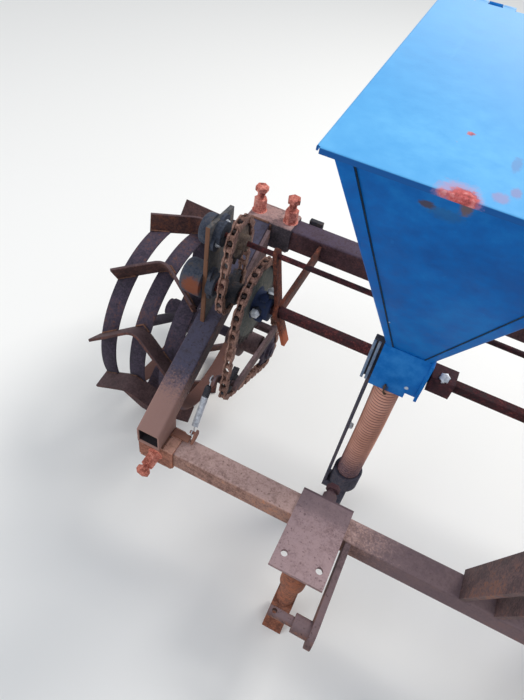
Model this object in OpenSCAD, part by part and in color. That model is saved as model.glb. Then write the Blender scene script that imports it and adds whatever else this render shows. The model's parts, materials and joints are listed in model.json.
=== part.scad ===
// Two-row seed drill carried on a tractor's three-point hitch.
// Millimetres. Z is up from the ground, X runs along the tool bars and -Y is the way it travels.
// Lengths along Y are counted from the front bar, and place() then centres the machine on its origin.

/* [Frame] */
// Side of the square tool bars
bar = 60; // [40:1:90]
// Wall of the tool bars
bar_wall = 5; // [3:0.5:10]
// Height of the front bar's centre over the ground
front_z = 292; // [270:1:330]
// Distance from the front bar back to the rear bar
rear_y = 517; // [480:1:560]
// Height of the rear bar's centre over the ground
rear_z = 634; // [600:1:680]
// Wall of the clamp sleeves
sleeve_wall = 5; // [4:0.5:8]
// Length of a front sleeve
front_sleeve_len = 95; // [80:1:110]
// Length of a rear sleeve
rear_sleeve_len = 122; // [110:1:126]
// Middle of the side arms from the machine's centre
arm_x = 811; // [795:1:825]
// Width of the side arm tube
arm_w = 60; // [40:1:60]
// Height of the side arm tube, square to its length
arm_h = 50; // [40:1:60]
// Wall of the side arm tube
arm_wall = 4; // [3:0.5:6]
// Diameter of the set screws
screw_d = 20; // [12:1:24]

/* [Wheels] */
// Gap between a side arm and the wheel's lugs
wheel_clear = 10; // [6:1:20]
// Distance from the front bar back to the wheel axle
wheel_y = 398; // [380:1:420]
// Radius over the wheel rings
ring_r = 261; // [240:1:275]
// Thickness of the ring's flat bar
ring_t = 6; // [4:0.5:10]
// Width of the ring's flat bar
ring_w = 45; // [30:1:48]
// Distance between two rings
ring_gap = 90; // [80:1:91]
// How far a lug stands out of the rings
lug_h = 48; // [30:1:60]
// Thickness of a lug's flat bar
lug_t = 8; // [5:0.5:12]
// Half of a lug's length along the axle
lug_reach = 115; // [105:1:116]
// Lead of a lug's point over its ends
lug_lead = 76; // [50:1:90]
// Lugs on a wheel
lug_n = 10; // [8:1:12]
// Diameter of the wheel axle
axle_d = 30; // [25:1:40]
// Diameter of the wheel hub
hub_d = 60; // [50:1:80]
// Spokes on a wheel
spoke_n = 5; // [4:1:6]

/* [Drive] */
// Pitch of the roller chains
pitch = 25.4; // [19.05:0.01:25.4]
// Teeth of the sprocket on the axle
axle_teeth = 12; // [11:1:13]
// Teeth of the large sprocket on the metering shaft
big_teeth = 24; // [22:1:26]
// Teeth of the chain tensioner's idler
idler_teeth = 9; // [8:1:10]
// Teeth of the two sprockets of the short chain
small_teeth = 12; // [11:1:12]
// Width of the sprocket teeth
tooth_w = 8; // [5:0.5:15]
// Drive chain, inwards from the middle of the side arm
drive_in = 111; // [105:1:118]
// Short chain, inwards from the middle of the side arm
short_in = 47; // [45:1:56]
// Distance from the front bar back to the metering shaft
meter_y = 238; // [230:1:246]
// Height of the metering shaft
meter_z = 637; // [620:1:645]
// Side of the square metering shaft
meter_shaft_w = 20; // [14:1:25]
// Distance from the front bar back to the agitator shaft
stir_y = 260; // [250:1:270]
// Height of the agitator shaft
stir_z = 766; // [760:1:775]
// Diameter of the agitator shaft
stir_d = 12; // [8:1:16]
// Distance from the front bar back to the idler
idler_y = 150; // [140:1:160]
// Height of the idler
idler_z = 437; // [425:1:450]
// Diameter of the lower bearing drum, on the metering shaft
low_drum_d = 84; // [70:1:86]
// Diameter of the upper bearing drum, on the agitator shaft
high_drum_d = 70; // [60:1:76]

/* [Rows] */
// Distance between the two seed rows
row_gap = 700; // [680:1:720]
// Width of a hopper at its top
hopper_w = 380; // [320:1:400]
// Length of a hopper at its top
hopper_l = 572; // [500:1:590]
// Height of the hopper's front top edge
hopper_top_z = 1188; // [1150:1:1220]
// Rise of the hopper's rim from front to back
hopper_rise = 27; // [0:1:40]
// Wall of the hopper's sheet
sheet = 3; // [2:0.5:4]
// Overhang of a lid around its hopper
lid_over = 13; // [10:1:20]
// Depth of a lid's rim
lid_rim = 5; // [4:1:20]
// Width and depth of the meter housing
meter_w = 100; // [90:1:110]
// Height of the meter housing
meter_h = 125; // [110:1:140]
// Outside diameter of a seed hose
hose_d = 60; // [50:1:68]
// Bore of a seed hose
hose_bore = 50; // [40:1:54]
// Height of a seed hose's lower end
hose_z = 190; // [170:1:210]
// Corrugations on a seed hose
hose_n = 42; // [20:1:50]

/* [Row plates] */
// Width of a row plate
plate_w = 125; // [110:1:140]
// Length of a row plate
plate_l = 200; // [190:1:220]
// Thickness of a row plate
plate_t = 10; // [6:0.5:14]
// Distance between the two holes of a row plate
plate_hole_gap = 82; // [78:0.5:90]
// Diameter of the holes of a row plate
plate_hole_d = 16; // [10:0.5:18]
// Diameter of a tine's socket
socket_d = 60; // [50:1:62]
// Diameter of a tine's leg
tine_d = 44; // [36:1:46]

/* [Hitch] */
// Distance between the shoulders of the lower link pins
link_gap = 683; // [683:1:718]
// Diameter of the lower link pins
link_pin_d = 22; // [22:1:28]
// Distance from the front bar forward to the lower link pins
link_y = 228; // [220:1:250]
// Height of the top link hole over the lower link pins
mast_h = 460; // [440:1:480]
// Diameter of the top link hole
top_pin_d = 19.3; // [19:0.1:25.7]

/* [Hidden] */
$fn = 48;

rust = "#6b4a42";
orange_rust = "#b5654a";
grey_steel = "#5f6670";
hopper_blue = "#1f6fc0";
zinc = "#c9ccd0";
shaft_red = "#4c2327";
hose_orange = "#c08468";

fit = 0.3;
run = 1.5;
weld = 1;

row_x = row_gap / 2;
sleeve = bar + 2 * (fit + sleeve_wall);
front_sleeve_x = arm_x - 14;
rear_sleeve_x = arm_x - 26;
bar_end_in = 4.5;
bar_len = 2 * (front_sleeve_x + front_sleeve_len / 2 - bar_end_in);
wheel_x = arm_x + arm_w / 2 + wheel_clear + lug_reach;
drive_x = arm_x - drive_in;
short_x = arm_x - short_in;
strap_x = drive_x - 58;
shaft_end_x = strap_x + 46;
screw_af = screw_d * 1.5;
nut_h = 36;
head_h = 14;
front_screw_out = 10;
rear_screw_out = 20;

arm_front_y = -42;
arm_back_y = rear_y - sleeve / 2;
arm_low_z = front_z + sleeve / 2;
arm_high_z = rear_z + sleeve / 2;
// The arm's height measured upright at its slanted ends, from one correction of its slope.
arm_slope_try = atan2(arm_high_z - arm_low_z - arm_h, arm_back_y - arm_front_y);
arm_v = arm_h / cos(arm_slope_try);
arm_slope = atan2(arm_high_z - arm_low_z - arm_v, arm_back_y - arm_front_y);
function arm_under(y) = arm_low_z + (y - arm_front_y) * tan(arm_slope);
function arm_over(y) = arm_under(y) + arm_v;

// A lug is a flat bar on edge, bent to a V, so its point and its ends lie at the same radius.
lug_base_r = ring_r - 5;
lug_top_r = ring_r + lug_h;
lug_half_t = lug_lead / 2;
lug_half_angle = atan2(lug_half_t, lug_top_r);
lug_slope = atan2(lug_lead, lug_reach);
lug_corner_t = lug_half_t + lug_t / 2 / cos(lug_slope);
// Both ends of one lug stand on the ground under the axle
lug_first = 270 - lug_half_angle;
wheel_z = lug_top_r * cos(lug_half_angle) + lug_corner_t * sin(lug_half_angle);
wheel_back = max([for (k = [0 : lug_n - 1], t = [-1, 1])
    let (a = lug_first + k * 360 / lug_n) lug_top_r * cos(a) + t * lug_corner_t * sin(a)]);

link_z = front_z;
link_front = 34;
y_front = -(link_y + link_front);
y_back = wheel_y + wheel_back;
mid_y = (y_front + y_back) / 2;

module place() {
    translate([0, -mid_y, 0]) children();
}

// side is -1 on the left and 1 on the right
module at_side(side) {
    if (side < 0) children();
    else mirror([1, 0, 0]) children();
}

module along_x(x0, x1, y, z) {
    translate([x0, y, z]) rotate([90, 0, 90]) linear_extrude(x1 - x0) children();
}

module bar_x(x0, x1, y, z, d, bore = 0) {
    along_x(x0, x1, y, z) difference() {
        circle(d = d);
        if (bore > 0) circle(d = bore);
    }
}

module box_between(low, high) {
    translate(low) cube(high - low);
}

module hex(af, h) {
    cylinder(d = af / cos(30), h = h, $fn = 6);
}

// A set screw in a long welded nut, standing on z = 0, its end reaching down to the bar
module set_screw(reach, out) {
    color(orange_rust) {
        hex(screw_af, nut_h);
        translate([0, 0, -reach]) cylinder(d = screw_d, h = reach + nut_h + out);
        translate([0, 0, nut_h + out]) hex(screw_af, head_h);
    }
}

module rounded_rect(w, h, r) {
    square([w, h - 2 * r], center = true);
    square([w - 2 * r, h], center = true);
    for (x = [-1, 1], y = [-1, 1]) translate([x * (w / 2 - r), y * (h / 2 - r)]) circle(r = r);
}

// Section of a tube with round corners, bend being their radius inside
module tube_section(w, h, wall, bend) {
    difference() {
        rounded_rect(w, h, wall + bend);
        rounded_rect(w - 2 * wall, h - 2 * wall, bend);
    }
}

module square_tube(len, side, wall, bend) {
    rotate([90, 0, 90]) translate([0, 0, -len / 2]) linear_extrude(len) tube_section(side, side, wall, bend);
}

tube_bend = 2;
sleeve_bend = 1;

module front_bar() {
    color(rust) place() translate([0, 0, front_z]) square_tube(bar_len, bar, bar_wall, tube_bend);
}

module rear_bar() {
    color(rust) place() translate([0, rear_y, rear_z]) square_tube(bar_len, bar, bar_wall, tube_bend);
}

screw_reach = sleeve_wall + fit / 2;

module front_sleeve(side) {
    color(rust) place() at_side(side) translate([-front_sleeve_x, 0, front_z]) {
        difference() {
            square_tube(front_sleeve_len, sleeve, sleeve_wall, sleeve_bend);
            rotate([90, 0, 0]) cylinder(d = screw_d - 1, h = sleeve);
        }
        translate([0, -sleeve / 2, 0]) rotate([90, 0, 0]) set_screw(screw_reach, front_screw_out);
    }
}

rear_screw_x = [-44, 44];

module rear_sleeve(side) {
    color(rust) place() at_side(side) translate([-rear_sleeve_x, rear_y, rear_z]) {
        difference() {
            square_tube(rear_sleeve_len, sleeve, sleeve_wall, sleeve_bend);
            for (x = rear_screw_x) translate([x, 0, 0]) cylinder(d = screw_d - 1, h = sleeve);
        }
        for (x = rear_screw_x) translate([x, 0, sleeve / 2]) set_screw(screw_reach, rear_screw_out);
    }
}

gusset_in = 0.6;

// Slanted tube from the front sleeve's top up to the rear one, cut upright at both ends, with a gusset
// on each side of its foot
module side_arm(side) {
    run_y = arm_back_y - arm_front_y;
    half = arm_w / 2;
    gusset_y = sleeve / 2;
    middle_z = arm_under(arm_front_y) + arm_v / 2;
    color(rust) place() at_side(side) translate([-arm_x, 0, 0]) {
        intersection() {
            translate([0, arm_front_y, middle_z]) rotate([arm_slope - 90, 0, 0])
                translate([0, 0, -arm_h]) linear_extrude(run_y / cos(arm_slope) + 2 * arm_h)
                    tube_section(arm_w, arm_v * cos(arm_slope), arm_wall, tube_bend);
            box_between([-arm_w, arm_front_y, 0], [arm_w, arm_back_y, arm_high_z + arm_h]);
        }
        for (m = [0, 1]) mirror([m, 0, 0])
            along_x(half - arm_wall + gusset_in, half - gusset_in, 0, 0) polygon([
                [arm_front_y + gusset_in, arm_low_z], [gusset_y, arm_low_z],
                [gusset_y, arm_under(gusset_y) + 4 * arm_wall],
                [arm_front_y + gusset_in, arm_under(arm_front_y) + 4 * arm_wall]]);
    }
}

bearing_x = arm_x + 9;
bearing_t = 10;
bearing_low = [215, 338];
bearing_front_top = [220, 799];
bearing_back_top = [330, 791];
low_drum_len = 52;
high_drum_len = 24;
drum_end = 8;
drum_round = 9;
shaft_span = norm([meter_shaft_w, meter_shaft_w]);
bearing_bore = shaft_span + 2 * fit;
stir_bore = stir_d + 2 * fit;
flange_d = 56;
flange_len = 18;
flange_ear = [46, 40];
flange_ear_t = 8;

module bearing_plate() {
    color(grey_steel) place() difference() {
        along_x(-bearing_x - bearing_t / 2, -bearing_x + bearing_t / 2, 0, 0) polygon([
            [bearing_low[0], arm_over(bearing_low[0])], [bearing_low[1], arm_over(bearing_low[1])],
            bearing_back_top, bearing_front_top]);
        bar_x(-bearing_x - bearing_t, -bearing_x + bearing_t, meter_y, meter_z, bearing_bore);
        bar_x(-bearing_x - bearing_t, -bearing_x + bearing_t, stir_y, stir_z, stir_bore);
    }
}

// A drum along X with a round rim on its outer end, from x0 outwards
module drum(x0, len, d) {
    translate([x0, 0, 0]) rotate([0, -90, 0]) rotate_extrude() {
        square([d / 2, len - drum_round]);
        square([d / 2 - drum_round, len]);
        translate([d / 2 - drum_round, len - drum_round]) intersection() {
            circle(r = drum_round);
            square(drum_round);
        }
    }
}

// Drum-shaped bearing housings on the outer face of the plate and oval bolted flanges on its inner face
module shaft_bearings() {
    outer = -bearing_x - bearing_t / 2;
    inner = -bearing_x + bearing_t / 2;
    // Y, Z, bore, drum diameter, drum length, lean of the flange's ears
    seats = [
        [meter_y, meter_z, bearing_bore, low_drum_d, low_drum_len, 90],
        [stir_y, stir_z, stir_bore, high_drum_d, high_drum_len, 40]];
    place() for (s = seats) translate([0, s[0], s[1]]) {
        color(grey_steel) difference() {
            drum(outer, s[4], s[3]);
            bar_x(outer - s[4] + drum_end, outer + 1, 0, 0, s[2]);
        }
        color(zinc) difference() {
            union() {
                bar_x(inner, inner + flange_len, 0, 0, flange_d);
                along_x(inner, inner + flange_ear_t, 0, 0) rotate(s[5]) {
                    square([flange_ear[0], flange_d - 16], center = true);
                    for (m = [-1, 1]) translate([m * flange_ear[0] / 2, 0]) circle(d = flange_ear[1]);
                }
            }
            bar_x(inner - 1, inner + flange_len + 1, 0, 0, s[2]);
        }
    }
}

hanger_x = arm_x - arm_w / 2;
hanger_t = 10;
hanger_front_y = 335;
hanger_back_y = 465;
hanger_foot_r = 52;
carrier_d = 62;
carrier_out = 42;
carrier_in = 48;

module wheel_hanger(side) {
    color(rust) place() at_side(side) difference() {
        union() {
            along_x(-hanger_x, -hanger_x + hanger_t, 0, 0) union() {
                polygon([
                    [hanger_front_y, arm_over(hanger_front_y)], [wheel_y - hanger_foot_r, wheel_z],
                    [wheel_y + hanger_foot_r, wheel_z], [hanger_back_y, arm_over(hanger_back_y)]]);
                translate([wheel_y, wheel_z]) circle(r = hanger_foot_r);
            }
            bar_x(-hanger_x - carrier_out, -hanger_x + hanger_t + carrier_in, wheel_y, wheel_z, carrier_d);
        }
        bar_x(-hanger_x - 2 * carrier_out, -hanger_x + 2 * carrier_out, wheel_y, wheel_z,
            axle_d + 2 * fit);
    }
}

mast_x = 32;
mast_t = 12;
mast_w = 80;
mast_front_y = -118;
mast_top_z = link_z + mast_h;
brace_w = 50;

// Mast of two flat bars over the front bar, tied back to the rear bar by two stays
module headstock() {
    top = [mast_front_y, mast_top_z];
    color(rust) place() for (m = [0, 1]) mirror([m, 0, 0]) difference() {
        union() {
            along_x(mast_x, mast_x + mast_t, 0, 0) union() {
                polygon([
                    [-bar / 2, front_z + bar / 2], [bar / 2 + 10, front_z + bar / 2],
                    top + [mast_w / 2, 0], top + [-mast_w / 2, 0]]);
                translate(top) circle(d = mast_w);
            }
            along_x(mast_x + mast_t - weld, mast_x + mast_t + 10, 0, 0) polygon([
                top + [0, brace_w / 2], top + [0, -brace_w / 2],
                [rear_y - bar / 2, rear_z - bar / 2 + 4], [rear_y - bar / 2, rear_z + bar / 2 - 4]]);
        }
        bar_x(mast_x - 1, mast_x + mast_t + 20, top[0], top[1], top_pin_d);
    }
}

hitch_t = 14;
hitch_x = 290;
shoulder_d = 40;
pin_len = 55;
cotter_d = 11;

// A plate on the front face of the bar with a shouldered pin for the tractor's lower link
module lower_hitch(side) {
    pin_x = -link_gap / 2;
    color(rust) place() at_side(side) difference() {
        union() {
            along_x(-hitch_x - hitch_t, -hitch_x, 0, 0) union() {
                polygon([
                    [-bar / 2, link_z - bar / 2 + 2], [-bar / 2, link_z + bar / 2 - 2],
                    [-link_y, link_z + link_front], [-link_y, link_z - link_front]]);
                translate([-link_y, link_z]) circle(r = link_front);
            }
            bar_x(pin_x, -hitch_x - hitch_t + weld, -link_y, link_z, shoulder_d);
            bar_x(pin_x - pin_len, pin_x + weld, -link_y, link_z, link_pin_d);
        }
        translate([pin_x - pin_len + 12, -link_y, link_z - shoulder_d])
            cylinder(d = cotter_d, h = 2 * shoulder_d);
    }
}

plate_x = row_x + 24;
plate_back_y = 42;
plate_hole_y = -122;
saddle_t = 10;
saddle_drop = 46;

// A plate across the bar's top with a rear ear, clamped by a set screw from behind
module row_plate(side) {
    z = front_z + bar / 2;
    ear_y = bar / 2 + fit;
    color(rust) place() at_side(side) translate([-plate_x, 0, 0]) difference() {
        union() {
            box_between([-plate_w / 2, plate_back_y - plate_l, z], [plate_w / 2, plate_back_y, z + plate_t]);
            box_between([-plate_w / 2, ear_y, z - saddle_drop], [plate_w / 2, ear_y + saddle_t, z + weld]);
            translate([0, ear_y + saddle_t, front_z]) rotate([-90, 0, 0])
                set_screw(saddle_t + fit / 2, front_screw_out);
        }
        for (x = [-1, 1]) translate([x * plate_hole_gap / 2, plate_hole_y, z - 1])
            cylinder(d = plate_hole_d, h = plate_t + 2);
    }
}

socket_len = 110;
point_w = 50;
point_l = 90;

// A round leg in a socket under the row plate, with a chisel point on the ground
module tine(side) {
    top = front_z + bar / 2;
    color(rust) place() at_side(side) translate([-plate_x, plate_hole_y, 0]) {
        translate([0, 0, top - socket_len]) cylinder(d = socket_d, h = socket_len);
        translate([0, 0, 60]) cylinder(d = tine_d, h = top - socket_len - 60 + weld);
        translate([-point_w / 2, 0, 0]) rotate([90, 0, 90]) linear_extrude(point_w) polygon([
            [-point_l * 0.62, 0], [-point_l * 0.45, 0], [point_l * 0.2, 22], [point_l * 0.28, 100],
            [-point_l * 0.25, 100], [-point_l * 0.3, 42]]);
    }
}

throat_w = meter_w - 4;
hopper_low_z = meter_z + 81;
hopper_front_y = -32;
hopper_back_y = hopper_front_y + hopper_l;
throat_front_y = meter_y - 48;
throat_back_y = throat_front_y + throat_w;

function mix(a, b, share) = a + (b - a) * share;
// The hopper's skin at a share of its height: [half width, front y, back y, front z, back z]
function hopper_at(share) = [
    mix(throat_w / 2, hopper_w / 2, share),
    mix(throat_front_y, hopper_front_y, share),
    mix(throat_back_y, hopper_back_y, share),
    mix(hopper_low_z, hopper_top_z, share),
    mix(hopper_low_z, hopper_top_z + hopper_rise, share)];
function rectangle_points(r) =
    [[-r[0], r[1], r[3]], [r[0], r[1], r[3]], [r[0], r[2], r[4]], [-r[0], r[2], r[4]]];

// A tapered block between two level rectangles given like those of hopper_at()
module tapered(low, high) {
    faces = [[0, 1, 2, 3], [4, 5, 1, 0], [5, 6, 2, 1], [6, 7, 3, 2], [7, 4, 0, 3], [7, 6, 5, 4]];
    polyhedron(concat(rectangle_points(low), rectangle_points(high)), faces);
}

// The hopper's form, its sides pushed in by side_t and its front and back by end_t, longer by a share
module hopper_form(side_t, end_t, more) {
    inset = [-side_t, end_t, -end_t, 0, 0];
    tapered(hopper_at(-more) + inset, hopper_at(1 + more) + inset);
}

// Room between the folded flanges, where the front panel, or the back one, lies a sheet further in
module panel_recess(back) {
    low = hopper_at(0.03);
    high = hopper_at(1.02);
    y = back ? 2 : 1;
    z = back ? 4 : 3;
    // From outside the skin to one sheet inside it
    span = back ? [-sheet, 5] : [-5, sheet];
    tapered(
        [low[0] - flange_low, low[y] + span[0], low[y] + span[1], low[z], low[z]],
        [high[0] - flange_high, high[y] + span[0], high[y] + span[1], high[z], high[z]]);
}

flange_low = 14;
flange_high = 26;
hinge_d = 12;
hinge_x = [-110, 110];
hinge_len = 24;
hinge_y = hopper_back_y + lid_over + hinge_d / 2 + 1;
hinge_z = hopper_top_z + hopper_rise;
hinge_pin_d = 5;
// Y of the hopper's back at a height
function back_wall(z) =
    mix(throat_back_y, hopper_back_y, (z - hopper_low_z) / (hopper_top_z + hopper_rise - hopper_low_z));

module hopper(side) {
    strap_low = hinge_z - 34;
    strap_high = hinge_z - 29;
    color(hopper_blue) place() at_side(side) translate([-row_x, 0, 0]) {
        difference() {
            hopper_form(0, 0, 0);
            hopper_form(sheet, 2 * sheet, 0.02);
            panel_recess(false);
            panel_recess(true);
            bar_x(-hopper_w, hopper_w, stir_y, stir_z, stir_d + 2 * run);
        }
        // Bent hinge straps on the back wall, each with its knuckle and pin
        for (x = hinge_x) {
            difference() {
                union() {
                    along_x(x - hinge_len / 2, x + hinge_len / 2, 0, 0) polygon([
                        [back_wall(strap_low) - 2 * sheet, strap_low], [hinge_y + 4, strap_low],
                        [hinge_y + 4, hinge_z], [hinge_y - 1, hinge_z], [hinge_y - 1, strap_high],
                        [back_wall(strap_high) - 2 * sheet, strap_high]]);
                    bar_x(x - hinge_len / 2, x + hinge_len / 2, hinge_y, hinge_z, hinge_d);
                }
                hopper_form(sheet, 1.5 * sheet, 0);
            }
            bar_x(x - 1.5 * hinge_len, x + 1.5 * hinge_len, hinge_y, hinge_z, hinge_pin_d);
        }
    }
}

meter_low_z = hopper_low_z - meter_h;
meter_front_y = throat_front_y;
slot_w = 8;
spigot_len = 22;
hose_x = -8;
hose_y = meter_y - 20;

// Seed meter under the hopper, with the shaft's tunnel, its slotted cheek and the spout for the hose
module meter(side) {
    half = meter_w / 2;
    back = meter_front_y + meter_w;
    color(hopper_blue) place() at_side(side) translate([-row_x, 0, 0]) difference() {
        union() {
            box_between([-half, meter_front_y, meter_low_z], [half, back, hopper_low_z]);
            box_between([half - weld, meter_front_y - 8, meter_low_z + 12],
                [half + 5, back + 8, hopper_low_z]);
            translate([hose_x, hose_y, meter_low_z - spigot_len])
                cylinder(d = hose_bore - 2 * fit, h = spigot_len + weld);
        }
        bar_x(-meter_w, meter_w, meter_y, meter_z, shaft_span + 2 * run);
        translate([hose_x, hose_y, meter_low_z - spigot_len - 1])
            cylinder(d = hose_bore - 2 * fit - 8, h = spigot_len + 30);
        for (y = [12, 30]) box_between([-half - 1, meter_front_y + y, meter_low_z + 30],
            [-half + 8, meter_front_y + y + slot_w, hopper_low_z - 8]);
        box_between([half - 22, meter_front_y - 1, meter_low_z - 1],
            [half + 1, meter_front_y + 18, meter_low_z + 16]);
    }
}

bracket_w = 50;
bracket_wall = 4;
flange_t = 8;

// Short tube from the rear bar forward to the back of the seed meter
module meter_bracket(side) {
    front = meter_front_y + meter_w;
    back = rear_y - bar / 2;
    color(rust) place() at_side(side) translate([-row_x, 0, rear_z]) {
        box_between([-meter_w / 2 + 6, front, -bracket_w / 2 - 6],
            [meter_w / 2 - 6, front + flange_t, bracket_w / 2 + 16]);
        difference() {
            box_between([-bracket_w / 2, front + flange_t - weld, -bracket_w / 2],
                [bracket_w / 2, back, bracket_w / 2]);
            box_between([-bracket_w / 2 + bracket_wall, front + flange_t, -bracket_w / 2 + bracket_wall],
                [bracket_w / 2 - bracket_wall, back + 1, bracket_w / 2 - bracket_wall]);
        }
    }
}

// Corrugated hose between the meter's spout and the seed boot
module seed_hose(side) {
    top = meter_low_z;
    step = (top - hose_z) / hose_n;
    outer = hose_d / 2;
    color(hose_orange) place() at_side(side) translate([-row_x + hose_x, hose_y, hose_z])
        rotate_extrude() polygon([
            [hose_bore / 2, 0],
            for (i = [0 : hose_n - 1]) each [
                [outer - 3, i * step], [outer, (i + 0.3) * step], [outer, (i + 0.7) * step]],
            [outer - 3, top - hose_z], [hose_bore / 2, top - hose_z]]);
}

cup_d = 76;
cup_over = 22;
cup_under = 40;
funnel_h = 25;
funnel_d = 28;
boot_w = 40;
boot_sheet = 4;
boot_clear = 20;
shank_t = 8;
shank_w = 40;
cup_low_z = hose_z - cup_under;

// Funnel that holds the hose's lower end and leads the seed into the boot
module hose_socket(side) {
    color(grey_steel) place() at_side(side) translate([-row_x + hose_x, hose_y, cup_low_z])
        rotate_extrude() polygon([
            [funnel_d / 2, 0], [cup_d / 2, 0], [cup_d / 2, cup_under + cup_over],
            [hose_d / 2 + fit, cup_under + cup_over], [hose_d / 2 + fit, cup_under],
            [hose_bore / 2, cup_under], [funnel_d / 2, cup_under - funnel_h]]);
}

// Furrow opener: a pointed nose and two side sheets, open below and behind, hung from the meter's cheek
module seed_boot(side) {
    cheek = -meter_w / 2;
    half = boot_w / 2;
    nose_back = hose_y - funnel_d / 2 - 3;
    toe_y = hose_y - 62;
    heel_y = hose_y + 40;
    color(grey_steel) place() at_side(side) translate([-row_x, 0, 0]) {
        // The nose, sharp at the front, seen from the side and from above
        translate([hose_x, 0, 0]) intersection() {
            along_x(-half, half, 0, 0) polygon([
                [toe_y, boot_clear], [nose_back, boot_clear], [nose_back, cup_low_z],
                [nose_back - 16, cup_low_z], [toe_y + 20, boot_clear + 60]]);
            translate([0, 0, boot_clear]) linear_extrude(cup_low_z - boot_clear) polygon([
                [0, toe_y], [half, toe_y + 34], [half, nose_back], [-half, nose_back], [-half, toe_y + 34]]);
        }
        for (x = [-half, half - boot_sheet]) along_x(hose_x + x, hose_x + x + boot_sheet, 0, 0) polygon([
            [nose_back - boot_sheet, boot_clear], [heel_y, boot_clear], [heel_y + 6, cup_low_z],
            [nose_back - boot_sheet, cup_low_z]]);
        box_between([cheek - shank_t, hose_y - shank_w / 2, cup_low_z - shank_w],
            [cheek, hose_y + shank_w / 2, meter_low_z + 22]);
        box_between([cheek - weld, hose_y - shank_w / 2, cup_low_z - shank_w],
            [hose_x - half + weld, hose_y + shank_w / 2, cup_low_z - 10]);
    }
}

strap_t = 8;
strap_w = 26;
strap_lean = 33;
strap_foot = 86;
strap_eye_d = 46;

// Slanted hangers for both shafts near their ends, each with a flat arm from the rear bar
module shaft_hangers() {
    half = strap_t / 2;
    foot_x = -strap_x + 0.35 * strap_foot;
    low_z = meter_z - strap_foot;
    high_x = -strap_x - strap_lean - 5;
    high_z = stir_z + 5 / strap_lean * (stir_z - meter_z);
    color(rust) place() for (m = [0, 1]) mirror([m, 0, 0]) difference() {
        union() {
            along_x(-strap_x - half, -strap_x + half, 0, 0) polygon([
                [rear_y - bar / 2, rear_z - 20], [rear_y - bar / 2, rear_z + 20],
                [meter_y, rear_z + 20], [meter_y, rear_z - 20]]);
            intersection() {
                // The strap seen from the side
                along_x(-strap_x - 3 * strap_lean, -strap_x + 3 * strap_lean, 0, 0) union() {
                    polygon([
                        [meter_y - strap_w / 2, 0], [meter_y + strap_w / 2, 0],
                        [meter_y + strap_w / 2, meter_z], [stir_y + strap_w / 2, stir_z],
                        [stir_y - strap_w / 2, stir_z], [meter_y - strap_w / 2, meter_z]]);
                    translate([meter_y, meter_z]) circle(d = strap_eye_d);
                    translate([stir_y, stir_z]) circle(d = strap_w + 4);
                }
                // and from the front
                translate([0, stir_y + bar, 0]) rotate([90, 0, 0]) linear_extrude(2 * bar) polygon([
                    [foot_x - half, low_z], [foot_x + half, low_z], [-strap_x + half, meter_z],
                    [high_x + half, high_z], [high_x + half, high_z + strap_w],
                    [high_x - half, high_z + strap_w], [high_x - half, high_z], [-strap_x - half, meter_z]]);
            }
        }
        bar_x(-strap_x - 2 * strap_lean, -strap_x + 2 * strap_lean, meter_y, meter_z, bearing_bore);
        bar_x(-strap_x - 2 * strap_lean, -strap_x + 2 * strap_lean, stir_y, stir_z, stir_bore);
    }
}

// Chain loops. A loop is a list of wheels [y, z, teeth], taken counterclockwise seen along -X.
function pitch_r(teeth) = pitch / (2 * sin(180 / teeth));
axle_wheel = [wheel_y, wheel_z, axle_teeth];
big_wheel = [meter_y, meter_z, big_teeth];
idler_wheel = [idler_y, idler_z, idler_teeth];
low_wheel = [meter_y, meter_z, small_teeth];
high_wheel = [stir_y, stir_z, small_teeth];
drive_loop = [axle_wheel, big_wheel, idler_wheel];
short_loop = [low_wheel, high_wheel];

function next(loop, i) = loop[(i + 1) % len(loop)];
function prev(loop, i) = loop[(i + len(loop) - 1) % len(loop)];
// Direction of the outward normal on the straight run from wheel a to wheel b
function run_normal(a, b) =
    let (d = [b[0] - a[0], b[1] - a[1]])
    atan2(d[1], d[0]) - acos((pitch_r(a[2]) - pitch_r(b[2])) / norm(d));
function turn(from, to) = let (t = (to - from) % 360) t < 0 ? t + 360 : t;
function dir(a) = [cos(a), sin(a)];
function arc_start(loop, i) = run_normal(prev(loop, i), loop[i]);
function arc_sweep(loop, i) = turn(arc_start(loop, i), run_normal(loop[i], next(loop, i)));
function arc_len(loop, i) = arc_sweep(loop, i) * PI / 180 * pitch_r(loop[i][2]);
function run_len(loop, i) =
    let (a = loop[i], b = next(loop, i))
    sqrt(pow(b[0] - a[0], 2) + pow(b[1] - a[1], 2) - pow(pitch_r(a[2]) - pitch_r(b[2]), 2));
// Arc and straight run of wheel i together
function part_len(loop, i) = arc_len(loop, i) + run_len(loop, i);
function loop_len(loop, i = 0) = i == len(loop) ? 0 : part_len(loop, i) + loop_len(loop, i + 1);
function centre(loop, i) = [loop[i][0], loop[i][1]];
// The rivets' line at distance s: [y, z, distance to the nearer end of the straight run, or 0 on an arc]
function on_loop(loop, s, i = 0) =
    s > part_len(loop, i) && i < len(loop) - 1 ? on_loop(loop, s - part_len(loop, i), i + 1)
    : s <= arc_len(loop, i) ? on_arc(loop, i, s)
    : on_run(loop, i, s - arc_len(loop, i));
function on_arc(loop, i, s) =
    let (r = pitch_r(loop[i][2]), a = arc_start(loop, i) + s / r * 180 / PI)
    concat(centre(loop, i) + r * dir(a), 0);
function on_run(loop, i, s) =
    let (a = run_normal(loop[i], next(loop, i)))
    concat(centre(loop, i) + pitch_r(loop[i][2]) * dir(a) + s * dir(a + 90), min(s, run_len(loop, i) - s));
function link_count(loop) = 2 * round(loop_len(loop) / pitch / 2);
function link_step(loop) = loop_len(loop) / link_count(loop);

chain_in = tooth_w / 2 + fit;
plate_thick = 2.5;
plate_sink = 0.2;
chain_out = chain_in + 2 * plate_thick;
roller_r = 6.5;
tooth_out = 5;
link_tip = 8;
link_h = 9;

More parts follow.
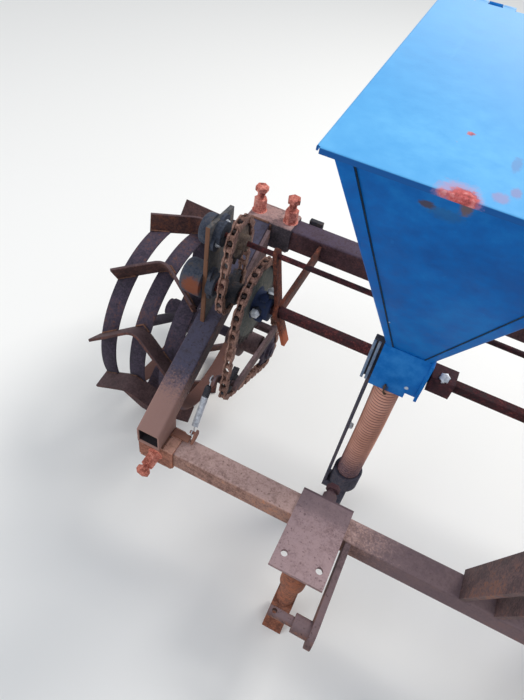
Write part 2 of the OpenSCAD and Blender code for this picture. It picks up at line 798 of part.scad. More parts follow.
// Side plate of link k, with pointed ends
module link_plate(loop, k) {
    step = link_step(loop);
    a = on_loop(loop, k * step);
    b = on_loop(loop, (k + 1) * step);
    along = [b[0] - a[0], b[1] - a[1]];
    end = norm(along) / 2;
    translate([a[0] + b[0], a[1] + b[1]] / 2) rotate(atan2(along[1], along[0])) polygon([
        [-end - link_tip, 0], [-end, -link_h], [end, -link_h],
        [end + link_tip, 0], [end, link_h], [-end, link_h]]);
}

// Distance from a run's end where rollers clear the turning teeth
function roller_keep(loop) =
    let (r = max([for (w = loop) pitch_r(w[2])]), reach = tooth_out + roller_r + 1)
    sqrt(reach * (reach + 2 * r));

// Links with their plates by turns outside and inside. Rollers stand only where no tooth passes.
module chain(loop, x) {
    color(rust) place() translate([-x, 0, 0]) {
        for (m = [0, 1], k = [0 : link_count(loop) - 1])
            let (in = chain_in + (k % 2) * (plate_thick - plate_sink))
            mirror([m, 0, 0]) along_x(in, in + plate_thick, 0, 0) link_plate(loop, k);
        for (k = [0 : link_count(loop) - 1]) let (q = on_loop(loop, k * link_step(loop)))
            if (q[2] > roller_keep(loop))
                along_x(-chain_in - 1, chain_in + 1, q[0], q[1]) circle(r = roller_r, $fn = 6);
    }
}

module drive_chain() {
    chain(drive_loop, drive_x);
}

module short_chain() {
    chain(short_loop, short_x);
}

// A sprocket in the plane of X, turned so that a gap holds the chain's first rivet on its arc
module sprocket(teeth, bore_r, phase) {
    r = pitch_r(teeth);
    step = 360 / teeth;
    translate([-tooth_w / 2, 0, 0]) rotate([90, 0, 90]) linear_extrude(tooth_w) difference() {
        // Radius and share of a tooth's step: seat of the roller, flank, tip, flank
        polygon([for (k = [0 : teeth - 1], q = [
            [r - roller_r, -0.14], [r - roller_r, 0.14], [r - 1, 0.3],
            [r + tooth_out, 0.43], [r + tooth_out, 0.57], [r - 1, 0.7]])
            q[0] * dir(phase + (k + q[1]) * step)]);
        circle(r = bore_r);
    }
}

// Length of the loop before wheel i's arc
function before(loop, i) = i == 0 ? 0 : part_len(loop, i - 1) + before(loop, i - 1);
// Angle of the first rivet that lies on wheel i of a loop
function rivet_angle(loop, i) =
    let (n = ceil(before(loop, i) / link_step(loop)), s = n * link_step(loop) - before(loop, i))
    arc_start(loop, i) + s / pitch_r(loop[i][2]) * 180 / PI;

tension_x = drive_x + chain_out + 12;
tension_arm_t = 8;
tension_arm_w = 34;
idler_pin_d = 16;
spring_d = 17;
spring_wire = 3;
spring_low = [35, front_z + sleeve / 2 + 14];
spring_high = [118, 462];

// Idler arm with its pins, and the spring that pulls it towards the front sleeve
module chain_tensioner() {
    pivot_y = wheel_y - 33;
    pivot_z = idler_z - 7;
    arm_in = -drive_x + chain_out + 4;
    place() {
        color(rust) {
            along_x(arm_in, arm_in + tension_arm_t, 0, 0) union() {
                polygon([
                    [idler_y, idler_z + tension_arm_w / 2], [pivot_y, pivot_z + tension_arm_w / 2],
                    [pivot_y, pivot_z - tension_arm_w / 2], [idler_y, idler_z - tension_arm_w / 2]]);
                translate([idler_y, idler_z]) circle(d = tension_arm_w);
                translate([pivot_y, pivot_z]) circle(d = tension_arm_w);
            }
            bar_x(-hanger_x + hanger_t, arm_in + weld, pivot_y, pivot_z, 24);
            bar_x(-tension_x - 6, arm_in + weld, idler_y, idler_z, idler_pin_d);
            along_x(-tension_x - 6, -tension_x, 0, 0) union() {
                polygon([
                    [idler_y - 12, idler_z], [idler_y + 12, idler_z],
                    spring_high + [10, 8], spring_high + [-10, 8]]);
                translate([idler_y, idler_z]) circle(r = 14);
                translate(spring_high) circle(r = 12);
            }
            bar_x(-tension_x - 20, -tension_x - 6 + weld, spring_high[0], spring_high[1], spring_pin_d);
            // Ear on the front sleeve for the spring's lower end
            box_between([-hanger_x + 2, spring_low[0] - 24, front_z + sleeve / 2],
                [-front_sleeve_x + front_sleeve_len / 2 + 16, spring_low[0] - 6, front_z + sleeve / 2 + 6]);
            along_x(-tension_x - 6, -tension_x, 0, 0) polygon([
                [spring_low[0] - 24, front_z + sleeve / 2], [spring_low[0] - 6, front_z + sleeve / 2],
                spring_low + [8, -6], spring_low + [8, 8], spring_low + [-10, 8]]);
            bar_x(-tension_x - 20, -tension_x - 6 + weld, spring_low[0], spring_low[1], spring_pin_d);
        }
    }
}

spring_pin_d = 8;
spring_eye_d = 20;
spring_turns = 24;

// Closed-wound tension spring between its two pins, an eye at each end
module tension_spring() {
    length = norm(spring_high - spring_low);
    lean = atan2(spring_high[0] - spring_low[0], spring_high[1] - spring_low[1]);
    ends = 16;
    step = (length - 2 * ends) / spring_turns;
    color(zinc) place() translate([-tension_x - 14, spring_low[0], spring_low[1]]) rotate([-lean, 0, 0]) {
        translate([0, 0, ends]) rotate_extrude() polygon([
            [0, 0], for (i = [0 : spring_turns - 1]) each [
                [spring_d / 2 - spring_wire / 2, i * step], [spring_d / 2, (i + 0.5) * step]],
            [spring_d / 2 - spring_wire / 2, spring_turns * step], [0, spring_turns * step]]);
        for (z = [0, length]) translate([-2, 0, z]) rotate([0, 90, 0]) difference() {
            union() {
                cylinder(d = spring_eye_d, h = 4);
                translate([z == 0 ? -ends - 1 : 0, -3, 0]) cube([ends + 1, 6, 4]);
            }
            translate([0, 0, -1]) cylinder(d = spring_pin_d + fit, h = 6);
        }
    }
}

module idler_sprocket() {
    color(rust) place() translate([-drive_x, idler_y, idler_z]) {
        sprocket(idler_teeth, idler_pin_d / 2 + fit, rivet_angle(drive_loop, 2));
    }
}

hub_in = 58;
hub_out = 52;
spoke_w = 37;
spoke_t = 10;

// Three flat-bar rings carried by spokes on the middle ring, crossed by V-shaped lugs on edge
module wheel(side) {
    lug_step = 360 / lug_n;
    color(rust) place() at_side(side) translate([-wheel_x, wheel_y, wheel_z]) {
        for (k = [-1, 0, 1])
            bar_x(k * ring_gap - ring_w / 2, k * ring_gap + ring_w / 2, 0, 0,
                2 * ring_r, 2 * (ring_r - ring_t), $fn = 96);
        for (k = [0 : lug_n - 1]) rotate([lug_first + k * lug_step - 90, 0, 0])
            translate([0, 0, lug_base_r]) linear_extrude(lug_top_r - lug_base_r) lug_outline();
        for (k = [0 : spoke_n - 1]) rotate([k * 360 / spoke_n + 54, 0, 0])
            box_between([-spoke_w / 2, -spoke_t / 2, hub_d / 2 - 2],
                [spoke_w / 2, spoke_t / 2, ring_r - ring_t / 2]);
        bar_x(-hub_out, hub_in, 0, 0, hub_d, axle_d + fit);
    }
}

// The lug's V seen from outside the wheel, its point towards +Y at the wheel's top
module lug_outline() {
    half = lug_t / 2 / cos(lug_slope);
    low = -lug_half_t;
    polygon([
        [0, lug_half_t - half], [lug_reach, low - half], [lug_reach, low + half],
        [0, lug_half_t + half], [-lug_reach, low + half], [-lug_reach, low - half]]);
}

collar_t = 10;
collar_d = 52;

// Axle with a collar at each end, and on the left the sprocket of the drive
module axle(side) {
    end = side < 0 ? drive_x - tooth_w / 2 - 12 : hanger_x - hanger_t - carrier_in - 14;
    hub_end = wheel_x + hub_out;
    color(rust) place() at_side(side) {
        bar_x(-hub_end - collar_t - 4, -end, wheel_y, wheel_z, axle_d);
        bar_x(-hub_end - collar_t, -hub_end, wheel_y, wheel_z, collar_d);
        bar_x(-end - 12, -end - 4, wheel_y, wheel_z, collar_d);
        if (side < 0) translate([-drive_x, wheel_y, wheel_z])
            sprocket(axle_teeth, axle_d / 2 - 1, rivet_angle(drive_loop, 0));
    }
}

// A shaft's left end, in the blind bore of its drum
function shaft_start(drum_len) = bearing_x + bearing_t / 2 + drum_len - drum_end - 4;

module meter_shaft() {
    color(shaft_red) place()
        box_between([-shaft_start(low_drum_len), meter_y - meter_shaft_w / 2, meter_z - meter_shaft_w / 2],
            [shaft_end_x, meter_y + meter_shaft_w / 2, meter_z + meter_shaft_w / 2]);
}

hub_bolt_d = 12;

// A set bolt with a hex head, from the middle of a shaft out along +Z
module hub_bolt(from_r, head_r) {
    color(zinc) {
        translate([0, 0, from_r]) cylinder(d = hub_bolt_d, h = head_r - from_r + 1);
        translate([0, 0, head_r]) hex(hub_bolt_d * 1.6, 8);
    }
}

module shaft_hole(len) {
    w = meter_shaft_w + 2 * fit;
    translate([-len / 2, -w / 2, -w / 2]) cube([len, w, w]);
}

module big_sprocket() {
    hub = 62;
    color(grey_steel) place() translate([-drive_x, meter_y, meter_z]) {
        difference() {
            union() {
                sprocket(big_teeth, 1, rivet_angle(drive_loop, 1));
                bar_x(tooth_w / 2 - weld, tooth_w / 2 + 38, 0, 0, hub);
            }
            shaft_hole(200);
        }
        for (a = [20, 110]) rotate([a, 0, 0]) translate([tooth_w / 2 + 20, 0, 0])
            hub_bolt(hub / 2 - 2, hub / 2);
    }
}

module short_sprocket_low() {
    color(rust) place() translate([-short_x, meter_y, meter_z]) difference() {
        union() {
            sprocket(small_teeth, 1, rivet_angle(short_loop, 0));
            bar_x(tooth_w / 2 - weld, tooth_w / 2 + 20, 0, 0, 50);
        }
        shaft_hole(200);
    }
}

// Square couplers on the metering shaft beside each seed meter, each with a set bolt
module shaft_couplers() {
    w = 44;
    l = 50;
    from_row = meter_w / 2 + 12 + l / 2;
    place() for (x = [-row_x + from_row, row_x - from_row]) translate([x, meter_y, meter_z]) {
        color(rust) difference() {
            box_between([-l / 2, -w / 2, -w / 2], [l / 2, w / 2, w / 2]);
            shaft_hole(l + 10);
        }
        rotate([30, 0, 0]) hub_bolt(w / 2 - 2, w / 2 + 2);
    }
}

module stir_shaft() {
    color(shaft_red) place() bar_x(-shaft_start(high_drum_len), shaft_end_x, stir_y, stir_z, stir_d);
}

module short_sprocket_high() {
    color(rust) place() translate([-short_x, stir_y, stir_z]) {
        sprocket(small_teeth, stir_d / 2, rivet_angle(short_loop, 1));
        bar_x(tooth_w / 2 - weld, tooth_w / 2 + 16, 0, 0, 36, stir_d);
    }
}

lid_gap = 0.3;

// Sheet lid with a folded rim over the hopper's top, hinged at its back edge
module lid(side) {
    slope = atan2(hopper_rise, hopper_l);
    w = hopper_w + 2 * lid_over;
    l = (hopper_l + 2 * lid_over) / cos(slope);
    start = hopper_front_y - lid_over;
    color(hopper_blue) place() at_side(side) translate([-row_x, 0, 0]) {
        translate([0, start, hopper_top_z - lid_over * tan(slope)]) rotate([slope, 0, 0]) difference() {
            box_between([-w / 2, 0, lid_gap - lid_rim], [w / 2, l, lid_gap + sheet]);
            box_between([-w / 2 + sheet, sheet, lid_gap - lid_rim - 1], [w / 2 - sheet, l - sheet, lid_gap]);
        }
        // Knuckles on both sides of each of the hopper's own
        for (x = hinge_x, m = [-1, 1]) difference() {
            near = x + (m - 0.5) * hinge_len + 1;
            along_x(near, near + hinge_len - 2, 0, 0) union() {
                translate([hinge_y, hinge_z]) circle(d = hinge_d);
                polygon([
                    [hopper_back_y + lid_over - 1, hinge_z - 5], [hinge_y, hinge_z - 5],
                    [hinge_y, hinge_z + 3], [hopper_back_y + lid_over - 1, hinge_z + 3]]);
            }
            bar_x(x - 2 * hinge_len, x + 2 * hinge_len, hinge_y, hinge_z, hinge_pin_d + fit);
        }
    }
}

front_bar();
rear_bar();
front_sleeve(-1);  // front_sleeve_left
front_sleeve(1);  // front_sleeve_right
rear_sleeve(-1);  // rear_sleeve_left
rear_sleeve(1);  // rear_sleeve_right
side_arm(-1);  // side_arm_left
side_arm(1);  // side_arm_right
bearing_plate();
shaft_bearings();
wheel_hanger(-1);  // wheel_hanger_left
wheel_hanger(1);  // wheel_hanger_right
headstock();
lower_hitch(-1);  // lower_hitch_left
lower_hitch(1);  // lower_hitch_right
row_plate(-1);  // row_plate_left
row_plate(1);  // row_plate_right
tine(-1);  // tine_left
tine(1);  // tine_right
hopper(-1);  // hopper_left
hopper(1);  // hopper_right
meter(-1);  // meter_left
meter(1);  // meter_right
meter_bracket(-1);  // meter_bracket_left
meter_bracket(1);  // meter_bracket_right
seed_hose(-1);  // seed_hose_left
seed_hose(1);  // seed_hose_right
hose_socket(-1);  // hose_socket_left
hose_socket(1);  // hose_socket_right
seed_boot(-1);  // seed_boot_left
seed_boot(1);  // seed_boot_right
shaft_hangers();
drive_chain();
short_chain();
chain_tensioner();
tension_spring();
idler_sprocket();
wheel(-1);  // wheel_left
wheel(1);  // wheel_right
axle(-1);  // axle_left
axle(1);  // axle_right
meter_shaft();
big_sprocket();
short_sprocket_low();
shaft_couplers();
stir_shaft();
short_sprocket_high();
lid(-1);  // lid_left
lid(1);  // lid_right
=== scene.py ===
import json
from math import acos, atan2, cos, degrees, hypot, pi, radians, sin, sqrt, tan

import bmesh
import bpy
from mathutils import Matrix, Vector, noise


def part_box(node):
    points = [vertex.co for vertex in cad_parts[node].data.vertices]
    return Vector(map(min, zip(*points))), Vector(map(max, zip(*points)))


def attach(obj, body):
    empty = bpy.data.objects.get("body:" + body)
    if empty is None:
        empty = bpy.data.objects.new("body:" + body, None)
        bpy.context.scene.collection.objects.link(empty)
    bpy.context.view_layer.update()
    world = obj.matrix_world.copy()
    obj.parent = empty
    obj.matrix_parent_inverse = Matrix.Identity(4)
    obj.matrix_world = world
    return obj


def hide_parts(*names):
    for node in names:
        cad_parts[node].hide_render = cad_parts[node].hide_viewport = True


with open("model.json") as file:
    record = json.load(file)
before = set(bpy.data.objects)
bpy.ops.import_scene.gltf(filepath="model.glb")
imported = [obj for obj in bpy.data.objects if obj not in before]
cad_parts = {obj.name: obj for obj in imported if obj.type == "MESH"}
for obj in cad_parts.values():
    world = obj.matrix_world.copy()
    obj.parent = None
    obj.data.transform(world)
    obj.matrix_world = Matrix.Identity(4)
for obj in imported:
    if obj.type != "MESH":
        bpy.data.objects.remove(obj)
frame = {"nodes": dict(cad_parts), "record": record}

# Sizes are millimetres. X runs along the tool bars, Y from the front bar to the rear one, Z from the ground.
MM = 0.001
LEFT, RIGHT = -1, 1
SIDES = {"left": LEFT, "right": RIGHT}
MOVING = {
    node: body for body, nodes in frame["record"]["behaviour"]["bodies"].items() for node in nodes
}


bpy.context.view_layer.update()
bar_box_low, bar_box_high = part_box("front_bar")
BAR_ORIGIN = Vector((0, (bar_box_low.y + bar_box_high.y) / 2, 0))

# Frame
BAR, BAR_WALL, BAR_CORNER = 60, 5, 7
FRONT_BAR_Z = 292
REAR_BAR_Y, REAR_BAR_Z = 517, 634
SLEEVE_WALL, SLEEVE_CORNER = 5, 5
SLEEVE = BAR + 2 * (0.3 + SLEEVE_WALL)
SCREW_D = 20
NUT_AF, NUT_H, HEAD_H = 30, 36, 14
FRONT_SCREW_OUT, REAR_SCREW_OUT = 10, 20
REAR_SCREW_APART = 88
ARM_H, ARM_WALL = 50, 4
LINER, LINER_DEEP = 0.8, 130
STOP_X = (-700, -664)

# Wheels
WHEEL_X, WHEEL_Y, WHEEL_Z = 966, 398, 311.9
RING_R, RING_T, RING_W, RING_GAP = 261, 6, 45, 90
LUG_H, LUG_T, LUG_REACH, LUG_LEAD, LUG_N = 48, 8, 115, 76, 10
LUG_BEND = 22
HUB_D, HUB_OUT, HUB_IN, AXLE_D = 60, 52, 58, 30
SPOKE_N, SPOKE_T, SPOKE_TURN = 5, 10, 54

# Drive
PITCH = 25.4
AXLE_TEETH, BIG_TEETH, IDLER_TEETH, SMALL_TEETH = 12, 24, 9, 12
TOOTH_W = 8
LINK_T, PIN_R, ROLLER_R = 2.5, 3.6, 6.5
DRIVE_X, SHORT_X, COUPLER_X, FLANGE_FACE_X = -700, -764, -263, -807
METER_Y, METER_Z = 238, 637
STIR_Y, STIR_Z = 260, 766
IDLER_Y, IDLER_Z = 150, 437
SPRING_WIRE_R, SPRING_R, SPRING_HOOK_R, SPRING_TURNS = 1.5, 7.0, 8, 30
SPRING_STRAIGHT, SPRING_END = 18, 26

# Rows
ROW_X = 350
SHEET = 3
HOPPER_W, HOPPER_L = 380, 572
HOPPER_FRONT_Y = -32
HOPPER_TOP_Z, HOPPER_RISE = 1188, 27
HOPPER_LOW_Z = METER_Z + 81
THROAT = 96
FLANGE_LOW, FLANGE_GROWTH, FLANGE_BEND = 14, 12, 5
PANEL_GRID, LID_GRID = 14, 26
LID_OVER, LID_RIM, LID_BEND, LID_NOTCH, LID_T = 13, 5, 3.0, 2.5, 2.4
HINGE_X, HINGE_LENGTH, HINGE_OUT, KNUCKLE_R = 110, 24, 7, 6
METER_W, METER_H = 100, 125
METER_FRONT_Y = METER_Y - 48
METER_LOW_Z = HOPPER_LOW_Z - METER_H
SLIDE_OUT, SLIDE_DEEP, STRIP_W, STRIP_DEEP = 22, 16, 6, 7
HOOK_R = 2.4
HOOK = [(-365, 1.5, 612), (-365, 5, 602), (-363, 6, 592), (-360, 4, 585), (-358, 0.5, 582)]
HOSE_D, HOSE_BORE, HOSE_Z, HOSE_N, HOSE_RIB = 60, 50, 190, 42, 3.6
HOSE_X, HOSE_Y = -8, METER_Y - 20
SHANK_BOLT_Z = 398

# Camera: where the photograph was taken from
CAMERA_AT = Vector((-389, -606.2, 1497))
CAMERA_AZIMUTH = 18.03
CAMERA_DOWN = 48.56
CAMERA_ROLL = 10.27
CAMERA_LENS = 28.33


def node_box(node):
    """Lowest and highest corner of a CAD node in this script's millimetres."""
    return [(corner - BAR_ORIGIN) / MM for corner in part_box(node)]


def to_scene(point):
    return Vector(point) * MM + BAR_ORIGIN


def linked(name, data):
    """A new object in the scene."""
    made = bpy.data.objects.new(name, data)
    bpy.context.scene.collection.objects.link(made)
    return made


def make_camera():
    camera = linked("camera", bpy.data.cameras.new("camera"))
    camera.data.sensor_width = 36
    camera.data.lens = CAMERA_LENS
    camera.data.clip_start = 0.05
    camera.data.clip_end = 60
    turn = Matrix.Rotation(radians(CAMERA_AZIMUTH), 4, "Z")
    tilt = Matrix.Rotation(radians(90 - CAMERA_DOWN), 4, "X")
    roll = Matrix.Rotation(radians(CAMERA_ROLL), 4, "Z")
    camera.matrix_world = Matrix.Translation(to_scene(CAMERA_AT)) @ turn @ tilt @ roll
    bpy.context.scene.camera = camera


make_camera()


# Materials
EVEN = (1, 1, 1)


def srgb(tone):
    """Red, green and blue from 0 to 255, as the linear colour that nodes take."""
    def linear(value):
        value /= 255
        return value / 12.92 if value <= 0.04045 else ((value + 0.055) / 1.055) ** 2.4
    return (*map(linear, tone), 1.0)


class Finish:
    """A procedural material whose textures are laid in metres on the mesh itself."""

    def __init__(self, name, roughness=0.8, metallic=0.0, specular=0.5):
        self.material = bpy.data.materials.new(name)
        self.material.use_nodes = True
        self.tree = self.material.node_tree
        self.shader = self.tree.nodes["Principled BSDF"]
        self.shader.inputs["Roughness"].default_value = roughness
        self.shader.inputs["Metallic"].default_value = metallic
        self.shader.inputs["Specular IOR Level"].default_value = specular
        self.place = self.add("ShaderNodeTexCoord").outputs["Object"]

    def add(self, kind, **inputs):
        """A new node; an underscore in an input's name stands for a space."""
        node = self.tree.nodes.new(kind)
        for name, value in inputs.items():
            self.put(node.inputs[name.replace("_", " ")], value)
        return node

    def put(self, socket, value):
        if isinstance(value, bpy.types.NodeSocket):
            self.tree.links.new(value, socket)
        else:
            socket.default_value = value

    def stretched(self, stretch, shift=(0, 0, 0)):
        node = self.add("ShaderNodeMapping", Vector=self.place, Location=shift, Scale=stretch)
        return node.outputs["Vector"]

    def noise(self, scale, detail=4.0, roughness=0.6, stretch=EVEN, shift=(0, 0, 0), bend=0.0):
        node = self.add("ShaderNodeTexNoise", Vector=self.stretched(stretch, shift), Scale=scale,
                        Detail=detail, Roughness=roughness, Distortion=bend)
        return node.outputs["Fac"]

    def math(self, operation, first, second=0.0, clamp=False):
        node = self.add("ShaderNodeMath")
        node.operation = operation
        node.use_clamp = clamp
        self.put(node.inputs[0], first)
        self.put(node.inputs[1], second)
        return node.outputs[0]

    def times(self, first, second):
        return self.math("MULTIPLY", first, second)

    def total(self, *parts):
        """The sum of values, each given with its weight."""
        result, *others = [self.times(value, weight) for value, weight in parts]
        for other in others:
            result = self.math("ADD", result, other)
        return result

    def spread(self, value, low, high, to_low=0.0, to_high=1.0):
        """Maps low..high of a value to to_low..to_high in a soft curve."""
        node = self.add("ShaderNodeMapRange", Value=value, From_Min=low, From_Max=high, To_Min=to_low,
                        To_Max=to_high)
        node.interpolation_type = "SMOOTHSTEP"
        return node.outputs["Result"]

    def ramp(self, value, stops):
        node = self.add("ShaderNodeValToRGB", Fac=value)
        elements = node.color_ramp.elements
        while len(elements) < len(stops):
            elements.new(0.5)
        for element, (position, tone) in zip(elements, stops):
            element.position = position
            element.color = srgb(tone)
        return node.outputs["Color"]

    def mix(self, factor, first, second):
        """From the first colour to the second, each a socket or a tone."""
        node = self.add("ShaderNodeMix")
        node.data_type = "RGBA"
        self.put(node.inputs[0], factor)
        for index, colour in ((6, first), (7, second)):
            self.put(node.inputs[index], srgb(colour) if isinstance(colour, tuple) else colour)
        return node.outputs[2]

    def part(self, vector, axis):
        return self.add("ShaderNodeSeparateXYZ", Vector=vector).outputs[axis]

    def facing(self, axis, low, high):
        """1 where the surface looks along an axis; a negative range looks against it."""
        normal = self.add("ShaderNodeNewGeometry").outputs["Normal"]
        return self.spread(self.part(normal, axis), low, high)

    def near(self, centre, radius, soft, stretch=EVEN):
        """1 at a point given in millimetres, falling to 0 at the radius."""
        node = self.add("ShaderNodeVectorMath")
        node.operation = "DISTANCE"
        self.put(node.inputs[0], self.stretched(stretch))
        self.put(node.inputs[1], [a * b for a, b in zip(to_scene(centre), stretch)])
        return self.spread(node.outputs["Value"], radius * MM, radius * MM * (1 - soft))

    def finish(self, colour, rough=None, bumps=()):
        """Sets the colour and the roughness, and stacks bumps given as (height, depth in mm)."""
        self.put(self.shader.inputs["Base Color"], colour)
        if rough is not None:
            self.put(self.shader.inputs["Roughness"], rough)
        target = self.shader
        for height, depth in reversed(bumps):
            node = self.add("ShaderNodeBump", Strength=1.0, Distance=depth * MM, Height=height)
            self.put(target.inputs["Normal"], node.outputs["Normal"])
            target = node
        return self.material


def add_marks(f, colour, marks):
    """Soft, torn marks on a finish, stains as well as painted light and shade: (centre, radius, tone,
    amount), and a stretch if it is uneven.
    """
    if not marks:
        return colour
    fine = f.noise(170, 5, 0.72, shift=(2, 5, 1))
    for centre, radius, tone, amount, *stretch in marks:
        patch = f.near(centre, radius, 0.95, *stretch)
        torn = f.spread(f.total((patch, 0.8), (fine, 0.8)), 0.58, 1.0)
        colour = f.mix(f.times(torn, amount), colour, tone)
    return colour


def rusted(name, dark, middle, light, bright, dust_and_top_light=None, pits=0.5, marks=(), zones=(), discs=()):
    """Rough rust in faint clouds with blisters, grain and specks, and a paler top, partly dusty and partly
    painted light.

    A zone has another tone up to a sharp limit: (centre, radius, tone), and a stretch if it is uneven.
    """
    f = Finish(name, roughness=0.85, specular=0.3)
    broad = f.noise(4.0, 4, 0.55, bend=0.3)
    blisters = f.noise(58, 6, 0.66)
    fine = f.noise(190, 5, 0.7)
    specks = f.noise(150, 2, 0.5, shift=(3, 1, 2))
    streaks = f.noise(34, 4, 0.6, stretch=(1, 1, 0.12))
    tone = f.total((broad, 0.3), (blisters, 0.35), (fine, 0.35))
    colour = f.ramp(tone, [(0.40, dark), (0.47, middle), (0.53, light), (0.61, bright)])
    # Up-facing faces turn paler: partly dusty, partly painted light from above
    if dust_and_top_light:
        top_dust_and_light = f.times(f.facing("Z", 0.3, 0.9), f.spread(tone, 0.40, 0.58, 0.35, 0.9))
        colour = f.mix(top_dust_and_light, colour, dust_and_top_light)
    for centre, radius, zone_tone, *stretch in zones:
        colour = f.mix(f.near(centre, radius, 0.06, *stretch), colour, zone_tone)
    if discs:
        # Dark teeth all round the plain discs
        inside = 0.0
        for centre, radius in discs:
            inside = f.math("MAXIMUM", inside, f.near(centre, radius, 0.05, (0, 1, 1)))
        colour = f.mix(inside, (44, 34, 34), colour)
    colour = f.mix(f.spread(streaks, 0.52, 0.75, 0, 0.35), colour, dark)
    colour = f.mix(f.spread(specks, 0.63, 0.70, 0, 0.6), colour, dark)
    colour = add_marks(f, colour, marks)
    rough = f.spread(blisters, 0.3, 0.7, 0.74, 0.95)
    return f.finish(colour, rough, [(blisters, 0.7 * pits), (fine, 0.45 * pits)])


def painted(name, base, deep, worn, rust_low, edge=None, light_pool=None, rust_at=(), marks=(), gloss=0.08):
    """Old paint with clouds, scratches and a few chips, and rust, marks, a painted pool of light and a front
    edge darkened as painted shade.
    """
    f = Finish(name, roughness=0.48, specular=gloss)
    clouds = f.noise(4.5, 4, 0.6, bend=0.3)
    mottle = f.noise(38, 5, 0.65)
    scratch = f.noise(60, 3, 0.6, stretch=(1, 0.08, 0.5))
    chip = f.noise(95, 5, 0.72)
    colour = f.ramp(f.total((clouds, 0.6), (mottle, 0.4)), [(0.38, deep), (0.52, base), (0.66, worn)])
    colour = f.mix(f.spread(scratch, 0.66, 0.74, 0, 0.3), colour, worn)
    # A painted pool of light, paler towards its centre
    if light_pool:
        centre, radius, tone = light_pool
        colour = f.mix(f.near(centre, radius, 1.0), colour, tone)
    # Front-facing faces darkened as painted shade
    if edge:
        colour = f.mix(f.facing("Y", -0.5, -0.85), colour, edge)
    colour = add_marks(f, colour, marks)
    spot = f.spread(f.total((chip, 0.6), (clouds, 0.4)), rust_low, rust_low + 0.035)
    for centre, radius, amount in rust_at:
        torn = f.spread(f.total((f.near(centre, radius, 0.95), 0.6), (chip, 0.9)), 0.6, 0.85)
        spot = f.math("MAXIMUM", spot, f.times(torn, amount))
    rust = f.ramp(chip, [(0.38, (132, 66, 66)), (0.52, (192, 92, 92)), (0.66, (214, 140, 140))])
    colour = f.mix(spot, colour, rust)
    rough = f.math("ADD", f.spread(mottle, 0.3, 0.7, 0.36, 0.54), f.times(spot, 0.4), clamp=True)
    dents = f.noise(7, 2, 0.5)
    return f.finish(colour, rough, [(dents, 2.2), (mottle, 0.12), (f.times(spot, -1.0), 0.15)])


def plated(name, base, dull):
    f = Finish(name, roughness=0.4, metallic=0.45)
    clouds = f.noise(120, 4, 0.6)
    grain = f.noise(900, 2, 0.5)
    colour = f.ramp(clouds, [(0.35, dull), (0.6, base)])
    return f.finish(colour, f.spread(clouds, 0.3, 0.7, 0.55, 0.34), [(grain, 0.06)])


def hose_material():
    """Tan plastic with painted shade in the grooves between its ribs, and darker towards its lower end,
    partly dirty and partly painted shade.
    """
    f = Finish("hose_plastic", roughness=0.6, specular=0.4)
    clouds = f.noise(14, 4, 0.6)
    grain = f.noise(260, 4, 0.6)
    height = f.part(f.place, "Z")
    rib_step = (METER_LOW_Z - HOSE_Z) / HOSE_N * MM
    turns = f.times(f.math("SUBTRACT", height, HOSE_Z * MM), 2 * pi / rib_step)
    # Painted shade in the grooves between the ribs
    groove_shade = f.spread(f.math("COSINE", turns), 0.1, 0.95, 0, 0.8)
    # Darker towards the lower end: partly dirty, partly painted shade
    dirt_and_shade = f.math("ADD", f.spread(height, 0.36, 0.22), f.spread(clouds, 0.5, 0.8, 0, 0.3), clamp=True)
    colour = f.ramp(clouds, [(0.35, (182, 130, 112)), (0.55, (202, 148, 130)), (0.7, (212, 164, 146))])
    colour = f.mix(f.times(dirt_and_shade, f.spread(grain, 0.3, 0.6, 0.65, 0.95)), colour, (84, 66, 80))
    colour = f.mix(groove_shade, colour, (72, 44, 40))
    return f.finish(colour, f.spread(grain, 0.3, 0.7, 0.5, 0.75), [(grain, 0.12)])


# Rust, given as its dark, middle, light and bright tone
# The pale patch by the left front sleeve is painted sunlight
RUST = rusted(
    "rust_brown", (62, 46, 48), (84, 65, 66), (104, 82, 82), (138, 94, 76), dust_and_top_light=(116, 98, 102),
    marks=[((-758, 20, 335), 90, (158, 112, 94), 0.9)])
# Arm rust darkened and blued as painted shade, its bluish top as painted sky light, its pale front end as
# painted sunlight
ARM_RUST = rusted(
    "arm_rust", (50, 40, 44), (66, 54, 58), (82, 66, 70), (116, 80, 66), dust_and_top_light=(74, 76, 98),
    marks=[((0, -60, 0), 250, (160, 124, 114), 0.85, (0, 1, 0))])
# Lighter bar rust as painted sunlight; the darker bluish middle band is a painted shadow across the bar
FRONT_BAR_RUST = rusted(
    "front_bar_rust", (100, 72, 64), (136, 102, 92), (160, 126, 114), (190, 130, 98), dust_and_top_light=(198, 168, 162),
    marks=[((0, 0, 0), 500, (98, 84, 92), 0.8, (1, 0, 0))])
# Lighter sleeve rust as painted sunlight
FRONT_SLEEVE_RUST = rusted(
    "front_sleeve_rust", (104, 66, 54), (136, 90, 74), (162, 112, 94), (196, 122, 86), dust_and_top_light=(206, 160, 142))
# Darker, bluer bar rust as painted shade
REAR_BAR_RUST = rusted(
    "rear_bar_rust", (52, 32, 34), (70, 46, 50), (86, 60, 64), (116, 70, 58), dust_and_top_light=(78, 70, 88))
# Dark greyish sleeve rust as painted shade, with a pale top as painted sunlight
REAR_SLEEVE_RUST = rusted(
    "rear_sleeve_rust", (52, 46, 50), (66, 60, 66), (82, 74, 80), (112, 80, 70), dust_and_top_light=(172, 140, 136))
# The greyer band across the plate by the front bar is a painted shadow
PLATE_RUST = rusted(
    "row_plate_rust", (100, 76, 78), (130, 106, 108), (150, 126, 128), (176, 142, 134),
    dust_and_top_light=(166, 142, 144), pits=0.8, zones=[((0, 74, 0), 38, (72, 46, 52), (0, 1, 0))],
    marks=[((0, 32, 0), 84, (112, 96, 102), 0.6, (0, 1, 0))])
